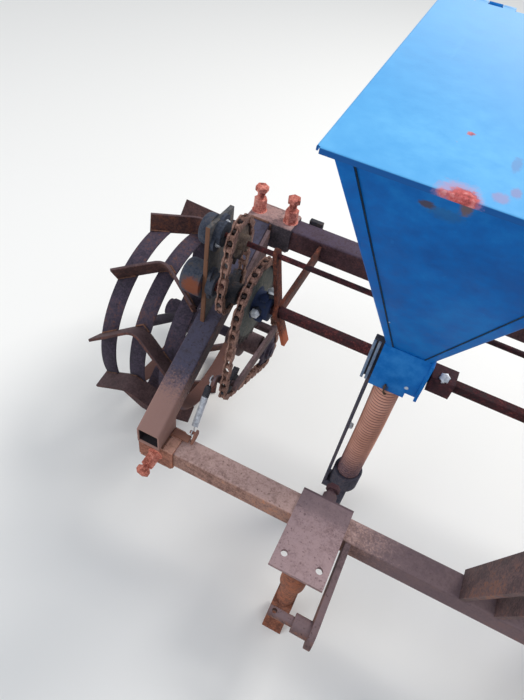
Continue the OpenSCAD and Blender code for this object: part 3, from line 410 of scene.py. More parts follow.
# The dark, bluish wheel and lug rust is partly painted shade
WHEEL_RUST = rusted(
    "wheel_rust", (42, 36, 46), (56, 49, 63), (70, 61, 76), (100, 70, 64),
    marks=[((0, 0, 40), 230, (118, 80, 64), 0.6, (0, 0, 1))])
LUG_RUST = rusted("lug_rust", (50, 34, 36), (70, 47, 46), (88, 60, 56), (128, 78, 60), dust_and_top_light=(90, 74, 78))
SCREW_RUST = rusted("screw_rust", (86, 36, 28), (168, 92, 80), (212, 130, 116), (236, 176, 160), pits=1.2)
# A paler copy of the screw rust as painted sunlight, for the front screw
SUNLIT_SCREW_RUST = rusted(
    "sunlit_screw_rust", (140, 74, 60), (208, 126, 108), (232, 158, 140), (244, 186, 170), pits=1.0)
TINE_RUST = rusted("tine_rust", (74, 44, 36), (106, 64, 50), (134, 84, 66), (170, 104, 74), pits=0.8)
STRAP_RUST = rusted(
    "strap_rust", (50, 28, 24), (76, 40, 32), (104, 56, 42), (146, 80, 54),
    marks=[((0, 240, 545), 70, (178, 96, 64), 0.8, (0, 1, 1))])
CHAIN_RUST = rusted("chain_rust", (82, 58, 50), (116, 86, 76), (146, 112, 100), (178, 144, 132), pits=0.3)
SPROCKET_RUST = rusted(
    "sprocket_rust", (70, 58, 52), (94, 78, 68), (114, 98, 86), (142, 122, 106), pits=0.3,
    discs=[((0, METER_Y, METER_Z), 38), ((0, STIR_Y, STIR_Z), 38)])
SHAFT_RUST = rusted("shaft_rust", (32, 16, 22), (50, 24, 28), (72, 32, 36), (122, 62, 56), pits=1.2)
COUPLER_RUST = rusted("coupler_rust", (44, 24, 30), (62, 34, 40), (80, 44, 48), (112, 62, 56))
GREY_STEEL = rusted(
    "grey_steel", (52, 54, 58), (70, 72, 76), (88, 88, 90), (110, 98, 88), pits=0.35,
    zones=[((0, 212, 0), 9, (112, 78, 60), (0, 1, 0))])
DISC_STEEL = rusted(
    "disc_steel", (56, 58, 56), (76, 78, 74), (92, 94, 88), (116, 100, 82), pits=0.3,
    zones=[((DRIVE_X + 26, METER_Y, METER_Z), 46, (36, 48, 78))], discs=[((0, METER_Y, METER_Z), 86)])
HOUSING = rusted(
    "housing_paint", (36, 40, 50), (50, 56, 70), (66, 72, 86), (84, 78, 78), pits=0.3,
    marks=[((-842, 196, 640), 44, (124, 70, 48), 0.95)])
DARK_FITTING = rusted("dark_fitting", (30, 32, 38), (44, 46, 54), (60, 60, 66), (86, 68, 60), pits=0.3)
BOOT_STEEL = rusted("boot_steel", (42, 42, 54), (58, 58, 72), (76, 74, 86), (98, 82, 80), pits=0.35)
SLIDE_PAINT = rusted(
    "slide_paint", (66, 84, 108), (88, 108, 134), (112, 130, 154), (134, 140, 150), pits=0.2)
WELD = rusted("weld_rust", (64, 46, 42), (92, 66, 56), (116, 82, 68), (146, 100, 78), pits=0.5)
SPRING_CLIP = rusted("clip_rust", (40, 36, 34), (64, 54, 48), (90, 74, 62), (124, 98, 78), pits=0.3)
# Near-black liner tone: painted shade inside the arms' open ends
INSIDE_SHADE = rusted("inside_painted_shade", (16, 14, 18), (24, 20, 26), (34, 28, 34), (60, 40, 36), pits=0.3)
# Dark teal strips: painted shade in the gaps beside the hopper's flanges
SEAM_SHADE = rusted("seam_painted_shade", (12, 30, 44), (18, 42, 60), (28, 54, 70), (70, 74, 68), pits=0.3)
ZINC = plated("zinc_plate", (222, 226, 232), (172, 178, 186))
HOSE = hose_material()
# Paint, given as its base, deep and worn tone
BLUE = painted(
    "blue_paint", (4, 98, 176), (0, 82, 156), (24, 116, 190), rust_low=0.72,
    marks=[((-416, -14, 1149), 20, (78, 66, 72), 0.9, (1, 1, 1.6)),
           ((-373, -26, 1163), 30, (104, 92, 100), 1.0, (2, 1, 0.8)),
           ((-392, -20, 1142), 44, (52, 84, 104), 0.35, (1, 1, 2)),
           ((-407, 145, 814), 5, (214, 222, 224), 1.0)])
METER_BLUE = painted(
    "meter_paint", (14, 100, 176), (4, 80, 150), (44, 122, 192), rust_low=0.74,
    marks=[((-324, 190, 625), 8, (190, 200, 205), 0.9), ((-363, 190, 600), 14, (60, 62, 66), 0.7)])
# Lid paint paler than the hopper's: partly sun-faded, partly painted sunlight; its light pool is painted
# light, its dark front edge painted shade
LID_BLUE = painted(
    "lid_paint", (88, 169, 228), (78, 161, 223), (100, 179, 233), rust_low=0.76, edge=(10, 82, 150),
    light_pool=((-250, 600, 1193), 640, (144, 192, 238)), gloss=0.2,
    rust_at=[((-382, -44, 1193), 32, 1.0), ((-402, -50, 1193), 18, 0.9), ((-403, 93, 1193), 11, 0.9)],
    marks=[((-388, -42, 1193), 46, (186, 140, 172), 0.6),
           ((-341, 57, 1193), 20, (110, 140, 190), 0.6, (1.8, 0.6, 1)),
           ((-332, -2, 1193), 16, (150, 130, 170), 0.6, (1.5, 0.8, 1)),
           ((-346, -21, 1193), 18, (160, 140, 180), 0.6)])


# Lines and matrices
def span(low, high, count):
    """Equal steps from low to high."""
    return [low + (high - low) * k / count for k in range(count + 1)]


def full_turn(count):
    """The angles of a full turn in equal steps."""
    return [2 * pi * k / count for k in range(count)]


def polar(radius, angle):
    return (radius * cos(angle), radius * sin(angle))


def leaning(angle):
    """The direction that leans from upright towards the front by degrees."""
    a = radians(angle)
    return Vector((0, -sin(a), cos(a)))


def stand(at, direction):
    """The matrix that puts a form drawn along +Z at a point, along a direction."""
    turn = Vector(direction).normalized().to_track_quat("Z", "Y").to_matrix()
    return Matrix.Translation(Vector(at)) @ turn.to_4x4()


def offset_along(at, direction, distance):
    return Vector(at) + Vector(direction).normalized() * distance


def corner_arc(centre, radius, start, steps=5):
    """A quarter turn about a centre, from a start given in degrees."""
    turns = (polar(radius, radians(a)) for a in span(start, start + 90, steps))
    return [(centre[0] + x, centre[1] + y) for x, y in turns]


def rounded_square(side, radius):
    """Outline of a square with round corners about the origin."""
    c = side / 2 - radius
    return [p for x, y, start in ((c, c, 0), (-c, c, 90), (-c, -c, 180), (c, -c, 270))
            for p in corner_arc((x, y), radius, start)]


def barrel(low, high, radius, chamfer, drop=None):
    """Profile of a round bar as (along, radius) points, its edges broken by a chamfer."""
    end = radius - (chamfer if drop is None else drop)
    return [(low, end), (low + chamfer, radius), (high - chamfer, radius), (high, end)]


def ring_path(at, direction, radius):
    place = stand(at, direction)
    return [place @ Vector((*polar(radius, a), 0)) for a in full_turn(28)]


def path_frames(path, closed, up):
    """Each point of a path with the directions across it and up from it."""
    frames = []
    last = len(path) - 1
    for i, point in enumerate(path):
        before = path[i - 1] if (i or closed) else point
        after = path[(i + 1) % len(path)] if (i < last or closed) else point
        ahead = (after - before).normalized()
        across = ahead.cross(Vector(up)).normalized()
        frames.append((point, across, across.cross(ahead).normalized()))
    return frames


def border(grid):
    """The corners round a grid, one after another."""
    return grid[0] + [row[-1] for row in grid[1:]] + grid[-1][-2::-1] + [row[0] for row in grid[-2:0:-1]]


# Shapes
# Orders in which a sheet's faces take their corners: as laid, or turned over from the last or the first one
AS_LAID, FROM_LAST, FROM_FIRST = (0, 1, 2, 3), (3, 2, 1, 0), (0, 3, 2, 1)


class Shape:
    """Closed shells in this script's millimetres, which become one piece."""

    def __init__(self):
        self.mesh = bmesh.new()

    def loft(self, rings, closed_loop=False):
        """Skins a list of rings of equal length, each ring a list of points."""
        made = [[self.mesh.verts.new(p) for p in ring] for ring in rings]
        count = len(rings[0])
        pairs = list(zip(made, made[1:]))
        if closed_loop:
            pairs.append((made[-1], made[0]))
        for a, b in pairs:
            for i in range(count):
                j = (i + 1) % count
                self.mesh.faces.new((a[i], a[j], b[j], b[i]))
        if not closed_loop:
            self.mesh.faces.new(list(reversed(made[0])))
            self.mesh.faces.new(made[-1])
        return self

    def sheet(self, rows, order=AS_LAID):
        """Faces over rows of points; returns the corners that it made, row by row."""
        made = [[self.mesh.verts.new(p) for p in row] for row in rows]
        for a, b in zip(made, made[1:]):
            for j in range(len(a) - 1):
                corners = (a[j], a[j + 1], b[j + 1], b[j])
                self.mesh.faces.new([corners[k] for k in order])
        return made

    def prism(self, outline, axis, low, high):
        """An outline across the X or Z axis, drawn out from low to high along it."""
        return self.loft([[(c, a, b) if axis == "x" else (a, b, c) for a, b in outline] for c in (low, high)])

    def block(self, low, high):
        outline = [(low[0], low[1]), (high[0], low[1]), (high[0], high[1]), (low[0], high[1])]
        return self.prism(outline, "z", low[2], high[2])

    def turned(self, profile, at, direction=(1, 0, 0), sides=40, twist=0.0):
        """A lathe form from (along, radius) points, its axis through a point."""
        place = stand(at, direction)
        least = 0.01
        return self.loft([[place @ Vector((*polar(max(radius, least), twist + a), along))
                           for a in full_turn(sides)] for along, radius in profile])

    def hoop(self, section, at, sides, wobble=0.0):
        """A ring about an axis along X, its section a closed loop of (along, radius) points."""
        place = stand(at, (1, 0, 0))
        rings = []
        for a in full_turn(sides):
            out = wobble * noise.noise(Vector((*polar(1, a), at[0] * 0.01)))
            rings.append([place @ Vector((*polar(radius + out, a), along)) for along, radius in section])
        return self.loft(rings, closed_loop=True)

    def swept(self, path, section, up=(0, 0, 1)):
        """A section of (across, up) points swept along a path, kept level with the up direction."""
        frames = path_frames([Vector(point) for point in path], False, up)
        return self.loft([[point + across * a + rise * b for a, b in section]
                          for point, across, rise in frames])

    def rod(self, path, radius, up=(0, 0, 1)):
        return self.swept(path, [polar(radius, a) for a in full_turn(8)], up)

    def rounded(self, width, segments=2):
        """Rounds the sharp edges of all that the shape holds so far."""
        sharp_from = radians(32)
        bmesh.ops.remove_doubles(self.mesh, verts=self.mesh.verts, dist=1e-4)
        bmesh.ops.recalc_face_normals(self.mesh, faces=self.mesh.faces)
        sharp = [e for e in self.mesh.edges if len(e.link_faces) == 2 and e.calc_face_angle(0) > sharp_from]
        bmesh.ops.bevel(self.mesh, geom=sharp, offset=width, segments=segments, profile=0.5,
                        affect="EDGES", clamp_overlap=True)
        return self

    def add(self, other, place=None):
        """Takes in another shape, moved by a matrix if one is given."""
        if place is not None:
            bmesh.ops.transform(other.mesh, matrix=place, verts=other.mesh.verts)
        mesh = bpy.data.meshes.new("part")
        other.mesh.to_mesh(mesh)
        self.mesh.from_mesh(mesh)
        bpy.data.meshes.remove(mesh)
        other.mesh.free()
        return self

    def piece(self, name, material, slot="rusted_steel", body=None, nodes=(), side=LEFT, smooth=38):
        """Ends the shape as an object that rides on its body and may replace CAD nodes."""
        if side == RIGHT:
            bmesh.ops.scale(self.mesh, vec=(-1, 1, 1), verts=self.mesh.verts)
        bmesh.ops.recalc_face_normals(self.mesh, faces=self.mesh.faces)
        bmesh.ops.scale(self.mesh, vec=(MM, MM, MM), verts=self.mesh.verts)
        bmesh.ops.translate(self.mesh, vec=BAR_ORIGIN, verts=self.mesh.verts)
        mesh = bpy.data.meshes.new(name)
        self.mesh.to_mesh(mesh)
        self.mesh.free()
        mesh.shade_smooth()
        mesh.set_sharp_from_angle(angle=radians(smooth))
        mesh.materials.append(material)
        made = linked(name, mesh)
        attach(made, body or (MOVING[nodes[0]] if nodes else "frame"))
        if nodes:
            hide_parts(*nodes)
        return made


def rounded_node(node, material, width, slot="rusted_steel", segments=2):
    """A copy of a CAD node with its sharp edges rounded, which stands for the node."""
    shape = Shape()
    shape.mesh.from_mesh(frame["nodes"][node].data)
    bmesh.ops.translate(shape.mesh, vec=-BAR_ORIGIN, verts=shape.mesh.verts)
    bmesh.ops.scale(shape.mesh, vec=(1 / MM, 1 / MM, 1 / MM), verts=shape.mesh.verts)
    bmesh.ops.remove_doubles(shape.mesh, verts=shape.mesh.verts, dist=1e-3)
    bmesh.ops.dissolve_limit(shape.mesh, angle_limit=radians(0.4),
                             verts=shape.mesh.verts, edges=shape.mesh.edges)
    shape.rounded(width, segments).piece(node + "_body", material, slot, nodes=(node,))


def box_tube(x0, x1, y, z, side, wall, corner):
    """Hollow square tube along X with round corners and broken end edges."""
    lip = 0.6
    stations = [(x, width, corner) for x, width in barrel(x0, x1, side, lip, 2 * lip)]
    stations += [(x, width, max(corner - wall, 1.0))
                 for x, width in barrel(x0, x1, side - 2 * wall, lip, -lip)[::-1]]
    return Shape().loft([[(x, y + a, z + b) for a, b in rounded_square(width, radius)]
                         for x, width, radius in stations], closed_loop=True)


def bead(path, radius=4.0, seed=1, closed=False, up=(0, 0, 1)):
    """A weld bead along a path: a low round seam with ripples and small lumps."""
    ripple, sink = 5.0, 0.105 * radius
    points = []
    for a, b in zip(path, path[1:] + ([path[0]] if closed else [])):
        a, b = Vector(a), Vector(b)
        steps = max(2, int((b - a).length / (ripple / 3)))
        points += [a.lerp(b, k / steps) for k in range(steps)]
    if not closed:
        points.append(Vector(path[-1]))
    rings = []
    travelled = 0.0
    before = points[0]
    for i, (point, across, rise) in enumerate(path_frames(points, closed, up)):
        travelled += (point - before).length
        before = point
        swell = 0.86 + 0.16 * abs(sin(pi * travelled / ripple))
        swell += 0.14 * noise.noise(Vector((travelled * 0.06, seed * 3.7, 0.5)))
        if not closed and i in (0, len(points) - 1):
            swell *= 0.35
        rings.append([point + across * a + rise * (0.75 * b - sink)
                      for a, b in (polar(radius * swell, t) for t in full_turn(8))])
    return Shape().loft(rings, closed_loop=closed)


def hex_prism(af, height, at, direction, chamfer=2.0, turn=0.0):
    """A nut or bolt head, its corners cut round at the top."""
    corner = af / sqrt(3)
    profile = [(0, corner - 0.6), (0.6, corner), (height - chamfer, corner), (height, corner - chamfer - 0.4),
               (height + 0.4, corner - chamfer - 3)]
    return Shape().turned(profile, at, direction, sides=6, twist=turn)


def thread(length, radius, at, direction):
    """A threaded rod as close rings."""
    pitch, depth = 2.5, 1.2
    profile = [(0, radius - depth)]
    for k in range(int(length / pitch)):
        profile += [(k * pitch + 0.5 * pitch, radius), (k * pitch + pitch, radius - depth)]
    profile.append((length, radius - depth - 0.8))
    return Shape().turned(profile, at, direction, sides=28)


def set_screw(at, direction, out, turn):
    """A long hexagon nut welded down, its screw and the screw's head."""
    shape = Shape()
    shape.add(hex_prism(NUT_AF, NUT_H, at, direction, turn=turn))
    shape.add(thread(out + 2, SCREW_D / 2, offset_along(at, direction, NUT_H - 1), direction))
    head_at = offset_along(at, direction, NUT_H + out)
    return shape.add(hex_prism(NUT_AF, HEAD_H, head_at, direction, turn=turn + 0.4))


def washer_bolt(at, size, washer=True):
    """A bolt head that looks along X, with or without a washer."""
    along_x, head = (1, 0, 0), 7
    shape = Shape()
    if washer:
        shape.turned(barrel(0, 2.4, size + 0.6, 0.4, 0.6), at, sides=28)
    return shape.add(hex_prism(size * 1.6, head, offset_along(at, along_x, 2.2 if washer else 0), along_x))


# Tool bars, sleeves and arms
def tool_bars():
    for node, y, z, finish in (("front_bar", 0, FRONT_BAR_Z, FRONT_BAR_RUST),
                               ("rear_bar", REAR_BAR_Y, REAR_BAR_Z, REAR_BAR_RUST)):
        low, high = node_box(node)
        tube = box_tube(low.x, high.x, y, z, BAR, BAR_WALL, BAR_CORNER)
        tube.piece(node + "_tube", finish, nodes=(node,))


def sleeves(word, side):
    """Clamp sleeves folded from two angles, the front one with one set screw and the rear one with two."""
    apart = REAR_SCREW_APART / 2
    for node, y, z, out, finish, screw_finish, screws in (
            ("front_sleeve_", 0, FRONT_BAR_Z, FRONT_SCREW_OUT, FRONT_SLEEVE_RUST, SUNLIT_SCREW_RUST,
             [(0, 0.15, Vector((0, -1, 0)))]),
            ("rear_sleeve_", REAR_BAR_Y, REAR_BAR_Z, REAR_SCREW_OUT, REAR_SLEEVE_RUST, SCREW_RUST,
             [(-apart, 0.1, Vector((0, 0, 1))), (apart, 0.5, Vector((0, 0, 1)))])):
        low, high = node_box(node + "left")
        sleeve = box_tube(low.x, high.x, y, z, SLEEVE, SLEEVE_WALL, SLEEVE_CORNER)
        # A welded seam along two of its corners
        c = SLEEVE / 2 - 1
        for a in (-c, c):
            sleeve.add(bead([(low.x + 3, y + a, z + a), (high.x - 3, y + a, z + a)], 2.6, seed=a))
        sleeve.piece(node + word + "_tube", finish, nodes=(node + word,), side=side)
        for k, (dx, turn, direction) in enumerate(screws):
            at = Vector(((low.x + high.x) / 2 + dx, y, z)) + direction * SLEEVE / 2
            screw = set_screw(at, direction, out, turn)
            foot = ring_path(at, direction, NUT_AF / 2 + 2.5)
            screw.add(bead(foot, 2.6, seed=k, closed=True, up=direction))
            screw.piece(f"{node}{word}_screw_{k}", screw_finish, side=side)


def arm_seams(word, side):
    """Seams where an arm stands on the front sleeve and meets the rear one."""
    low, high = node_box("side_arm_left")
    top, back = FRONT_BAR_Z + SLEEVE / 2 + 1, REAR_BAR_Y - SLEEVE / 2 - 1
    edges = (low.x - 1, high.x + 1)
    seams = Shape()
    for x in edges:
        seams.add(bead([(x, -SLEEVE / 2 + 2, top), (x, SLEEVE / 2 - 2, top)], 3.6, seed=x))
    seams.add(bead([(low.x + 3, back, high.z - 1), (high.x - 3, back, high.z - 1)], 3.8))
    for x in edges:
        seams.add(bead([(x, back, high.z - ARM_H), (x, back, high.z - 4)], 3.6, seed=x + 3, up=(0, 1, 0)))
    seams.piece("arm_seams_" + word, WELD, side=side)


def arm_inside(word, side):
    """A dark liner as painted shade inside an arm's open front end."""
    low, high = node_box("side_arm_left")
    top, reach = FRONT_BAR_Z + SLEEVE / 2, REAR_BAR_Y - SLEEVE / 2 - low.y
    # The slope and the arm's upright height depend on each other, so that the slope is worked out twice
    upright = ARM_H / cos(atan2(REAR_BAR_Z - FRONT_BAR_Z - ARM_H, reach))
    slope = atan2(REAR_BAR_Z - FRONT_BAR_Z - upright, reach)
    wall = ARM_WALL / cos(slope) + 0.5
    room = (high.x - low.x) / 2 - ARM_WALL - 0.5
    middle = (low.x + high.x) / 2
    ends = [(low.y + y, top + y * tan(slope)) for y in (3, LINER_DEEP)]
    liner = Shape()

    def strip(rise, thick, x0, x1):
        outline = [(y, z + rise) for y, z in ends] + [(y, z + rise + thick) for y, z in ends[::-1]]
        liner.prism(outline, "x", middle + x0, middle + x1)

    strip(wall, LINER, -room, room)
    strip(upright - wall - LINER, LINER, -room, room)
    for x in (-room, room - LINER):
        strip(wall, upright - 2 * wall, x, x + LINER)
    far_y, far_z = ends[1]
    liner.block((middle - room, far_y - 1, far_z + wall), (middle + room, far_y, far_z + upright - wall))
    liner.piece("arm_inside_" + word, INSIDE_SHADE, side=side)


def bar_stop(word, side):
    """A small dark block on the rear bar's back face beside the rear sleeve."""
    back = REAR_BAR_Y + BAR / 2
    stop = Shape().block((STOP_X[0], back - 1, REAR_BAR_Z - 4),
                         (STOP_X[1], back + 13, REAR_BAR_Z + BAR / 2 + 8))
    stop.rounded(1.5).piece("bar_stop_" + word, DARK_FITTING, side=side)


# Cage wheels
def ring_section():
    half = RING_W / 2
    return barrel(-half, half, RING_R, 1.5, 1) + barrel(-half, half, RING_R - RING_T, 1.5, -1)[::-1]


def lug(seed):
    """A flat bar on edge across the wheel, bent to a V, standing on the rings with its top along +Z."""
    base, top, half, edge = RING_R - 5, RING_R + LUG_H, LUG_T / 2, 1.5
    path = []
    for x in span(-LUG_REACH, LUG_REACH, 24):
        # Round at the V's point
        reach = abs(x) if abs(x) >= LUG_BEND else LUG_BEND / 2 + x * x / (2 * LUG_BEND)
        bent = 0.8 * noise.noise(Vector((x * 0.02, seed, 0)))
        path.append((x, LUG_LEAD / 2 - LUG_LEAD / LUG_REACH * reach + bent, 0))
    return Shape().swept(path, [(half, base), (half, top - edge), (half - edge, top), (edge - half, top),
                                (-half, top - edge), (-half, base)])


def wheel(word, side):
    """Three rings with their lugs, a hub with flat spokes to the middle ring, and the welds between them."""
    node = "wheel_" + word
    body = MOVING[node]
    centre = Vector((-WHEEL_X, WHEEL_Y, WHEEL_Z))

    def turned_by(angle):
        return Matrix.Translation(centre) @ Matrix.Rotation(radians(angle), 4, "X")

    rings, lugs, spokes, seams = Shape(), Shape(), Shape(), Shape()
    for k in (-1, 0, 1):
        rings.hoop(ring_section(), centre + Vector((k * RING_GAP, 0, 0)), 120, wobble=0.8)
    # The ends of the first lug stand straight down
    first = 180 - degrees(atan2(LUG_LEAD / 2, RING_R + LUG_H))
    for k in range(LUG_N):
        place = turned_by(first + 360 / LUG_N * k)
        lugs.add(lug(k * 5.3), place)
        # Short welds beside the lug on each ring
        for ring in (-1, 0, 1):
            x0, x1 = ring * RING_GAP - RING_W / 2 + 2, ring * RING_GAP + RING_W / 2 - 2
            for out in (-1.1 * (LUG_T / 2 + 2), 1.1 * (LUG_T / 2 + 2)):
                line = [(x, LUG_LEAD / 2 - LUG_LEAD / LUG_REACH * abs(x) + out, RING_R + 0.5)
                        for x in ((x0, x1) if ring else (x0, 0, x1))]
                seams.add(bead(line, 2.4, seed=k + ring), place)
    for k in range(SPOKE_N):
        place = turned_by(SPOKE_TURN + k * 360 / SPOKE_N)
        spoke = Shape().block((-RING_W / 2 + 4, -SPOKE_T / 2, HUB_D / 2 - 2),
                              (RING_W / 2 - 4, SPOKE_T / 2, RING_R - RING_T / 2))
        spokes.add(spoke.rounded(1.2), place)
        for y in (-SPOKE_T / 2 - 1, SPOKE_T / 2 + 1):
            line = [(x, y, HUB_D / 2 + 1.5) for x in (-RING_W / 2 + 5, RING_W / 2 - 5)]
            seams.add(bead(line, 3, seed=k), place)
    bore = AXLE_D / 2 + 0.2
    spokes.hoop([(-HUB_OUT, bore), *barrel(-HUB_OUT, HUB_IN, HUB_D / 2, 2), (HUB_IN, bore)], centre, 56)
    rings.piece(node + "_rings", WHEEL_RUST, nodes=(node,), side=side)
    lugs.piece(node + "_lugs", LUG_RUST, body=body, side=side)
    spokes.piece(node + "_spokes", WHEEL_RUST, body=body, side=side)
    seams.piece(node + "_seams", WELD, body=body, side=side)


# Roller chains
def pitch_radius(teeth):
    return PITCH / (2 * sin(pi / teeth))


# Each sprocket's Y, Z and teeth
AXLE_WHEEL = (WHEEL_Y, WHEEL_Z, AXLE_TEETH)
BIG_WHEEL = (METER_Y, METER_Z, BIG_TEETH)
IDLER_WHEEL = (IDLER_Y, IDLER_Z, IDLER_TEETH)
LOW_WHEEL = (METER_Y, METER_Z, SMALL_TEETH)
HIGH_WHEEL = (STIR_Y, STIR_Z, SMALL_TEETH)


def run_normal(a, b):
    """Direction from a sprocket's centre to where the chain's run to the next one leaves it."""
    dy, dz = b[0] - a[0], b[1] - a[1]
    return atan2(dz, dy) - acos((pitch_radius(a[2]) - pitch_radius(b[2])) / hypot(dy, dz))


class Loop:
    """A chain's line round its sprockets, as the CAD model has it."""

    def __init__(self, wheels):
        self.parts = []
        for before, here, after in zip(wheels[-1:] + wheels, wheels, wheels[1:] + wheels[:1]):
            start, end = run_normal(before, here), run_normal(here, after)
            sweep = (end - start) % (2 * pi)
            radius = pitch_radius(here[2])
            reach = hypot(after[0] - here[0], after[1] - here[1])
            run = sqrt(reach ** 2 - (radius - pitch_radius(after[2])) ** 2)
            self.parts.append((here, radius, start, sweep, end, run))
        self.length = sum(radius * sweep + run for _, radius, _, sweep, _, run in self.parts)
        self.count = 2 * round(self.length / PITCH / 2)
        self.step = self.length / self.count

    def at(self, s):
        """The point at a distance along the chain, as (y, z)."""
        s %= self.length
        for (y, z, _), radius, start, sweep, end, run in self.parts:
            arc = radius * sweep
            if s <= arc + run:
                dy, dz = polar(radius, start + s / radius if s <= arc else end)
                ahead = max(s - arc, 0)
                return Vector((y + dy - ahead * sin(end), z + dz + ahead * cos(end)))
            s -= arc + run
        return self.at(0)


def link_plate(length, half_height, waist):
    """Outline of a chain's side plate: two round ends and a narrow middle."""
    outline = []
    for end in (1, -1):
        for a in span(-90 * end, -90 * end + 180, 7):
            x, y = polar(half_height, radians(a))
            outline.append((end * length / 2 + x, y))
        outline.append((0, end * waist))
    return outline


def roller_chain(node, wheels, x):
    loop = Loop(wheels)
    inner = TOOTH_W / 2 + 0.3
    pin_end = inner + 5
    links, rollers = Shape(), Shape()
    for k in range(loop.count):
        a, b = loop.at(k * loop.step), loop.at((k + 1) * loop.step)
        middle = (a + b) / 2
        ahead = (b - a).normalized()
        place = Matrix(((0, 0, 1, x), (ahead.x, -ahead.y, 0, middle.x), (ahead.y, ahead.x, 0, middle.y),
                        (0, 0, 0, 1)))
        # Outer and inner links in turn
        start, half_height = (inner + 2.3, 8.2) if k % 2 == 0 else (inner, 8.9)
        outline = link_plate((b - a).length, half_height, 6.6)
        for way in (-1, 1):
            links.add(Shape().prism(outline, "z", way * start, way * (start + LINK_T)), place)
        # Pin with its riveted ends, and the roller on it
        rollers.turned(barrel(-pin_end, pin_end, PIN_R, 0.6, 1.2), (x, a.x, a.y), sides=10)
        rollers.turned(barrel(-inner, inner, ROLLER_R, 0.8, 0.7), (x, a.x, a.y), sides=14)
    links.piece(node + "_links", CHAIN_RUST, "orange_rusted_steel", nodes=(node,))
    rollers.piece(node + "_rollers", CHAIN_RUST)


# Shafts and the tension spring
def shaft_bolts():
    """The bright bolts of the couplers beside the seed meters and of the big sprocket's hub."""
    coupler, hub, nuts = Shape(), Shape(), Shape()
    out = leaning(30)
    for x in (COUPLER_X, -COUPLER_X):
        at = Vector((x, METER_Y, METER_Z)) + out * 24
        coupler.add(hex_prism(20, 9, at, out, chamfer=1.6, turn=0.3))
    for lean, along in ((80, 14), (-10, 30)):
        out = leaning(lean)
        centre = Vector((DRIVE_X + TOOTH_W / 2 + along, METER_Y, METER_Z))
        nuts.add(hex_prism(22, 10, centre + out * 30, out, turn=0.4))
        hub.add(hex_prism(20, 8, centre + out * 40, out, chamfer=2.6, turn=0.1))
    coupler.piece("coupler_bolts", ZINC, "zinc", body=MOVING["shaft_couplers"])
    nuts.piece("hub_nuts", DARK_FITTING, "grey_steel", body=MOVING["big_sprocket"])
    hub.piece("hub_bolts", ZINC, "zinc", body=MOVING["big_sprocket"])


def bearing_bolts():
    """Two bolts on each flange inside the bearing plate."""
    # The low ones are small, so that the square shaft's corners pass between them
    for name, y, z, lean, out, size, finish in (("low", METER_Y, METER_Z, 90, 23.5, 4.2, DARK_FITTING),
                                                ("high", STIR_Y, STIR_Z, 40, 23, 9, ZINC)):
        bolts = Shape()
        for way in (-out, out):
            dy, dz = polar(way, radians(lean))
            bolts.add(washer_bolt((FLANGE_FACE_X, y + dy, z + dz), size, washer=size > 6))
        bolts.piece("bearing_bolts_" + name, finish, "zinc")


def tension_spring():
    """Close coils between two hooks, with a dark end fitting at the top."""
    box_low, box_high = node_box("tension_spring")
    x = (box_low.x + box_high.x) / 2
    low, high = Vector((x, 35, FRONT_BAR_Z + SLEEVE / 2 + 14)), Vector((x, 118, 462))
    axis, side = (high - low).normalized(), Vector((1, 0, 0))
    other = axis.cross(side)
    coils = (high - low).length - 2 * SPRING_STRAIGHT - SPRING_END
    path = []
    for share in span(0, 1, SPRING_TURNS * 16):
        a, b = polar(SPRING_R, 2 * pi * SPRING_TURNS * share)
        path.append(low + axis * (SPRING_STRAIGHT + coils * share) + side * a + other * b)
    spring = Shape().rod(path, SPRING_WIRE_R)
    for centre, way, reach in ((low, 1, SPRING_STRAIGHT), (high, -1, SPRING_STRAIGHT + SPRING_END)):
        turns = [polar(SPRING_HOOK_R, radians(a)) for a in span(-150, 150, 12)]
        hook = [centre - axis * way * a + other * b for a, b in turns]
        spring.rod(hook + [centre + axis * way * reach], SPRING_WIRE_R, up=side)
    spring.piece("tension_spring_coils", ZINC, "zinc", nodes=("tension_spring",))
    fitting = Shape().turned([(0, 7.2), (1, 8.4), (24, 8.4), (30, 5)],
                             high - axis * (SPRING_STRAIGHT + 30), axis, 24)
    fitting.piece("tension_spring_end", DARK_FITTING)


# Rows
def hopper_edge(share, front):
    """Half width, the front or back Y, and the height of the hopper at a share of its height."""
    half = THROAT / 2 + (HOPPER_W - THROAT) / 2 * share
    if front:
        y0, y1, z1 = METER_FRONT_Y, HOPPER_FRONT_Y, HOPPER_TOP_Z
    else:
        y0, y1, z1 = METER_FRONT_Y + THROAT, HOPPER_FRONT_Y + HOPPER_L, HOPPER_TOP_Z + HOPPER_RISE
    return half, y0 + (y1 - y0) * share, HOPPER_LOW_Z + (z1 - HOPPER_LOW_Z) * share


def flange_width(share):
    return FLANGE_LOW + FLANGE_GROWTH * share


def fold_section(half, front_y, back_y, flange):
    """One side sheet from above, with a flange at each end, as (x, y, share of its depth) points."""
    def face(inset):
        x, bend = half - FLANGE_BEND, FLANGE_BEND - inset
        return [(half - flange, front_y + inset), *corner_arc((x, front_y + FLANGE_BEND), bend, -90, 4),
                *corner_arc((x, back_y - FLANGE_BEND), bend, 0, 4), (half - flange, back_y - inset)]
    return [(x, y, (y - front_y) / (back_y - front_y)) for x, y in face(0) + face(SHEET)[::-1]]


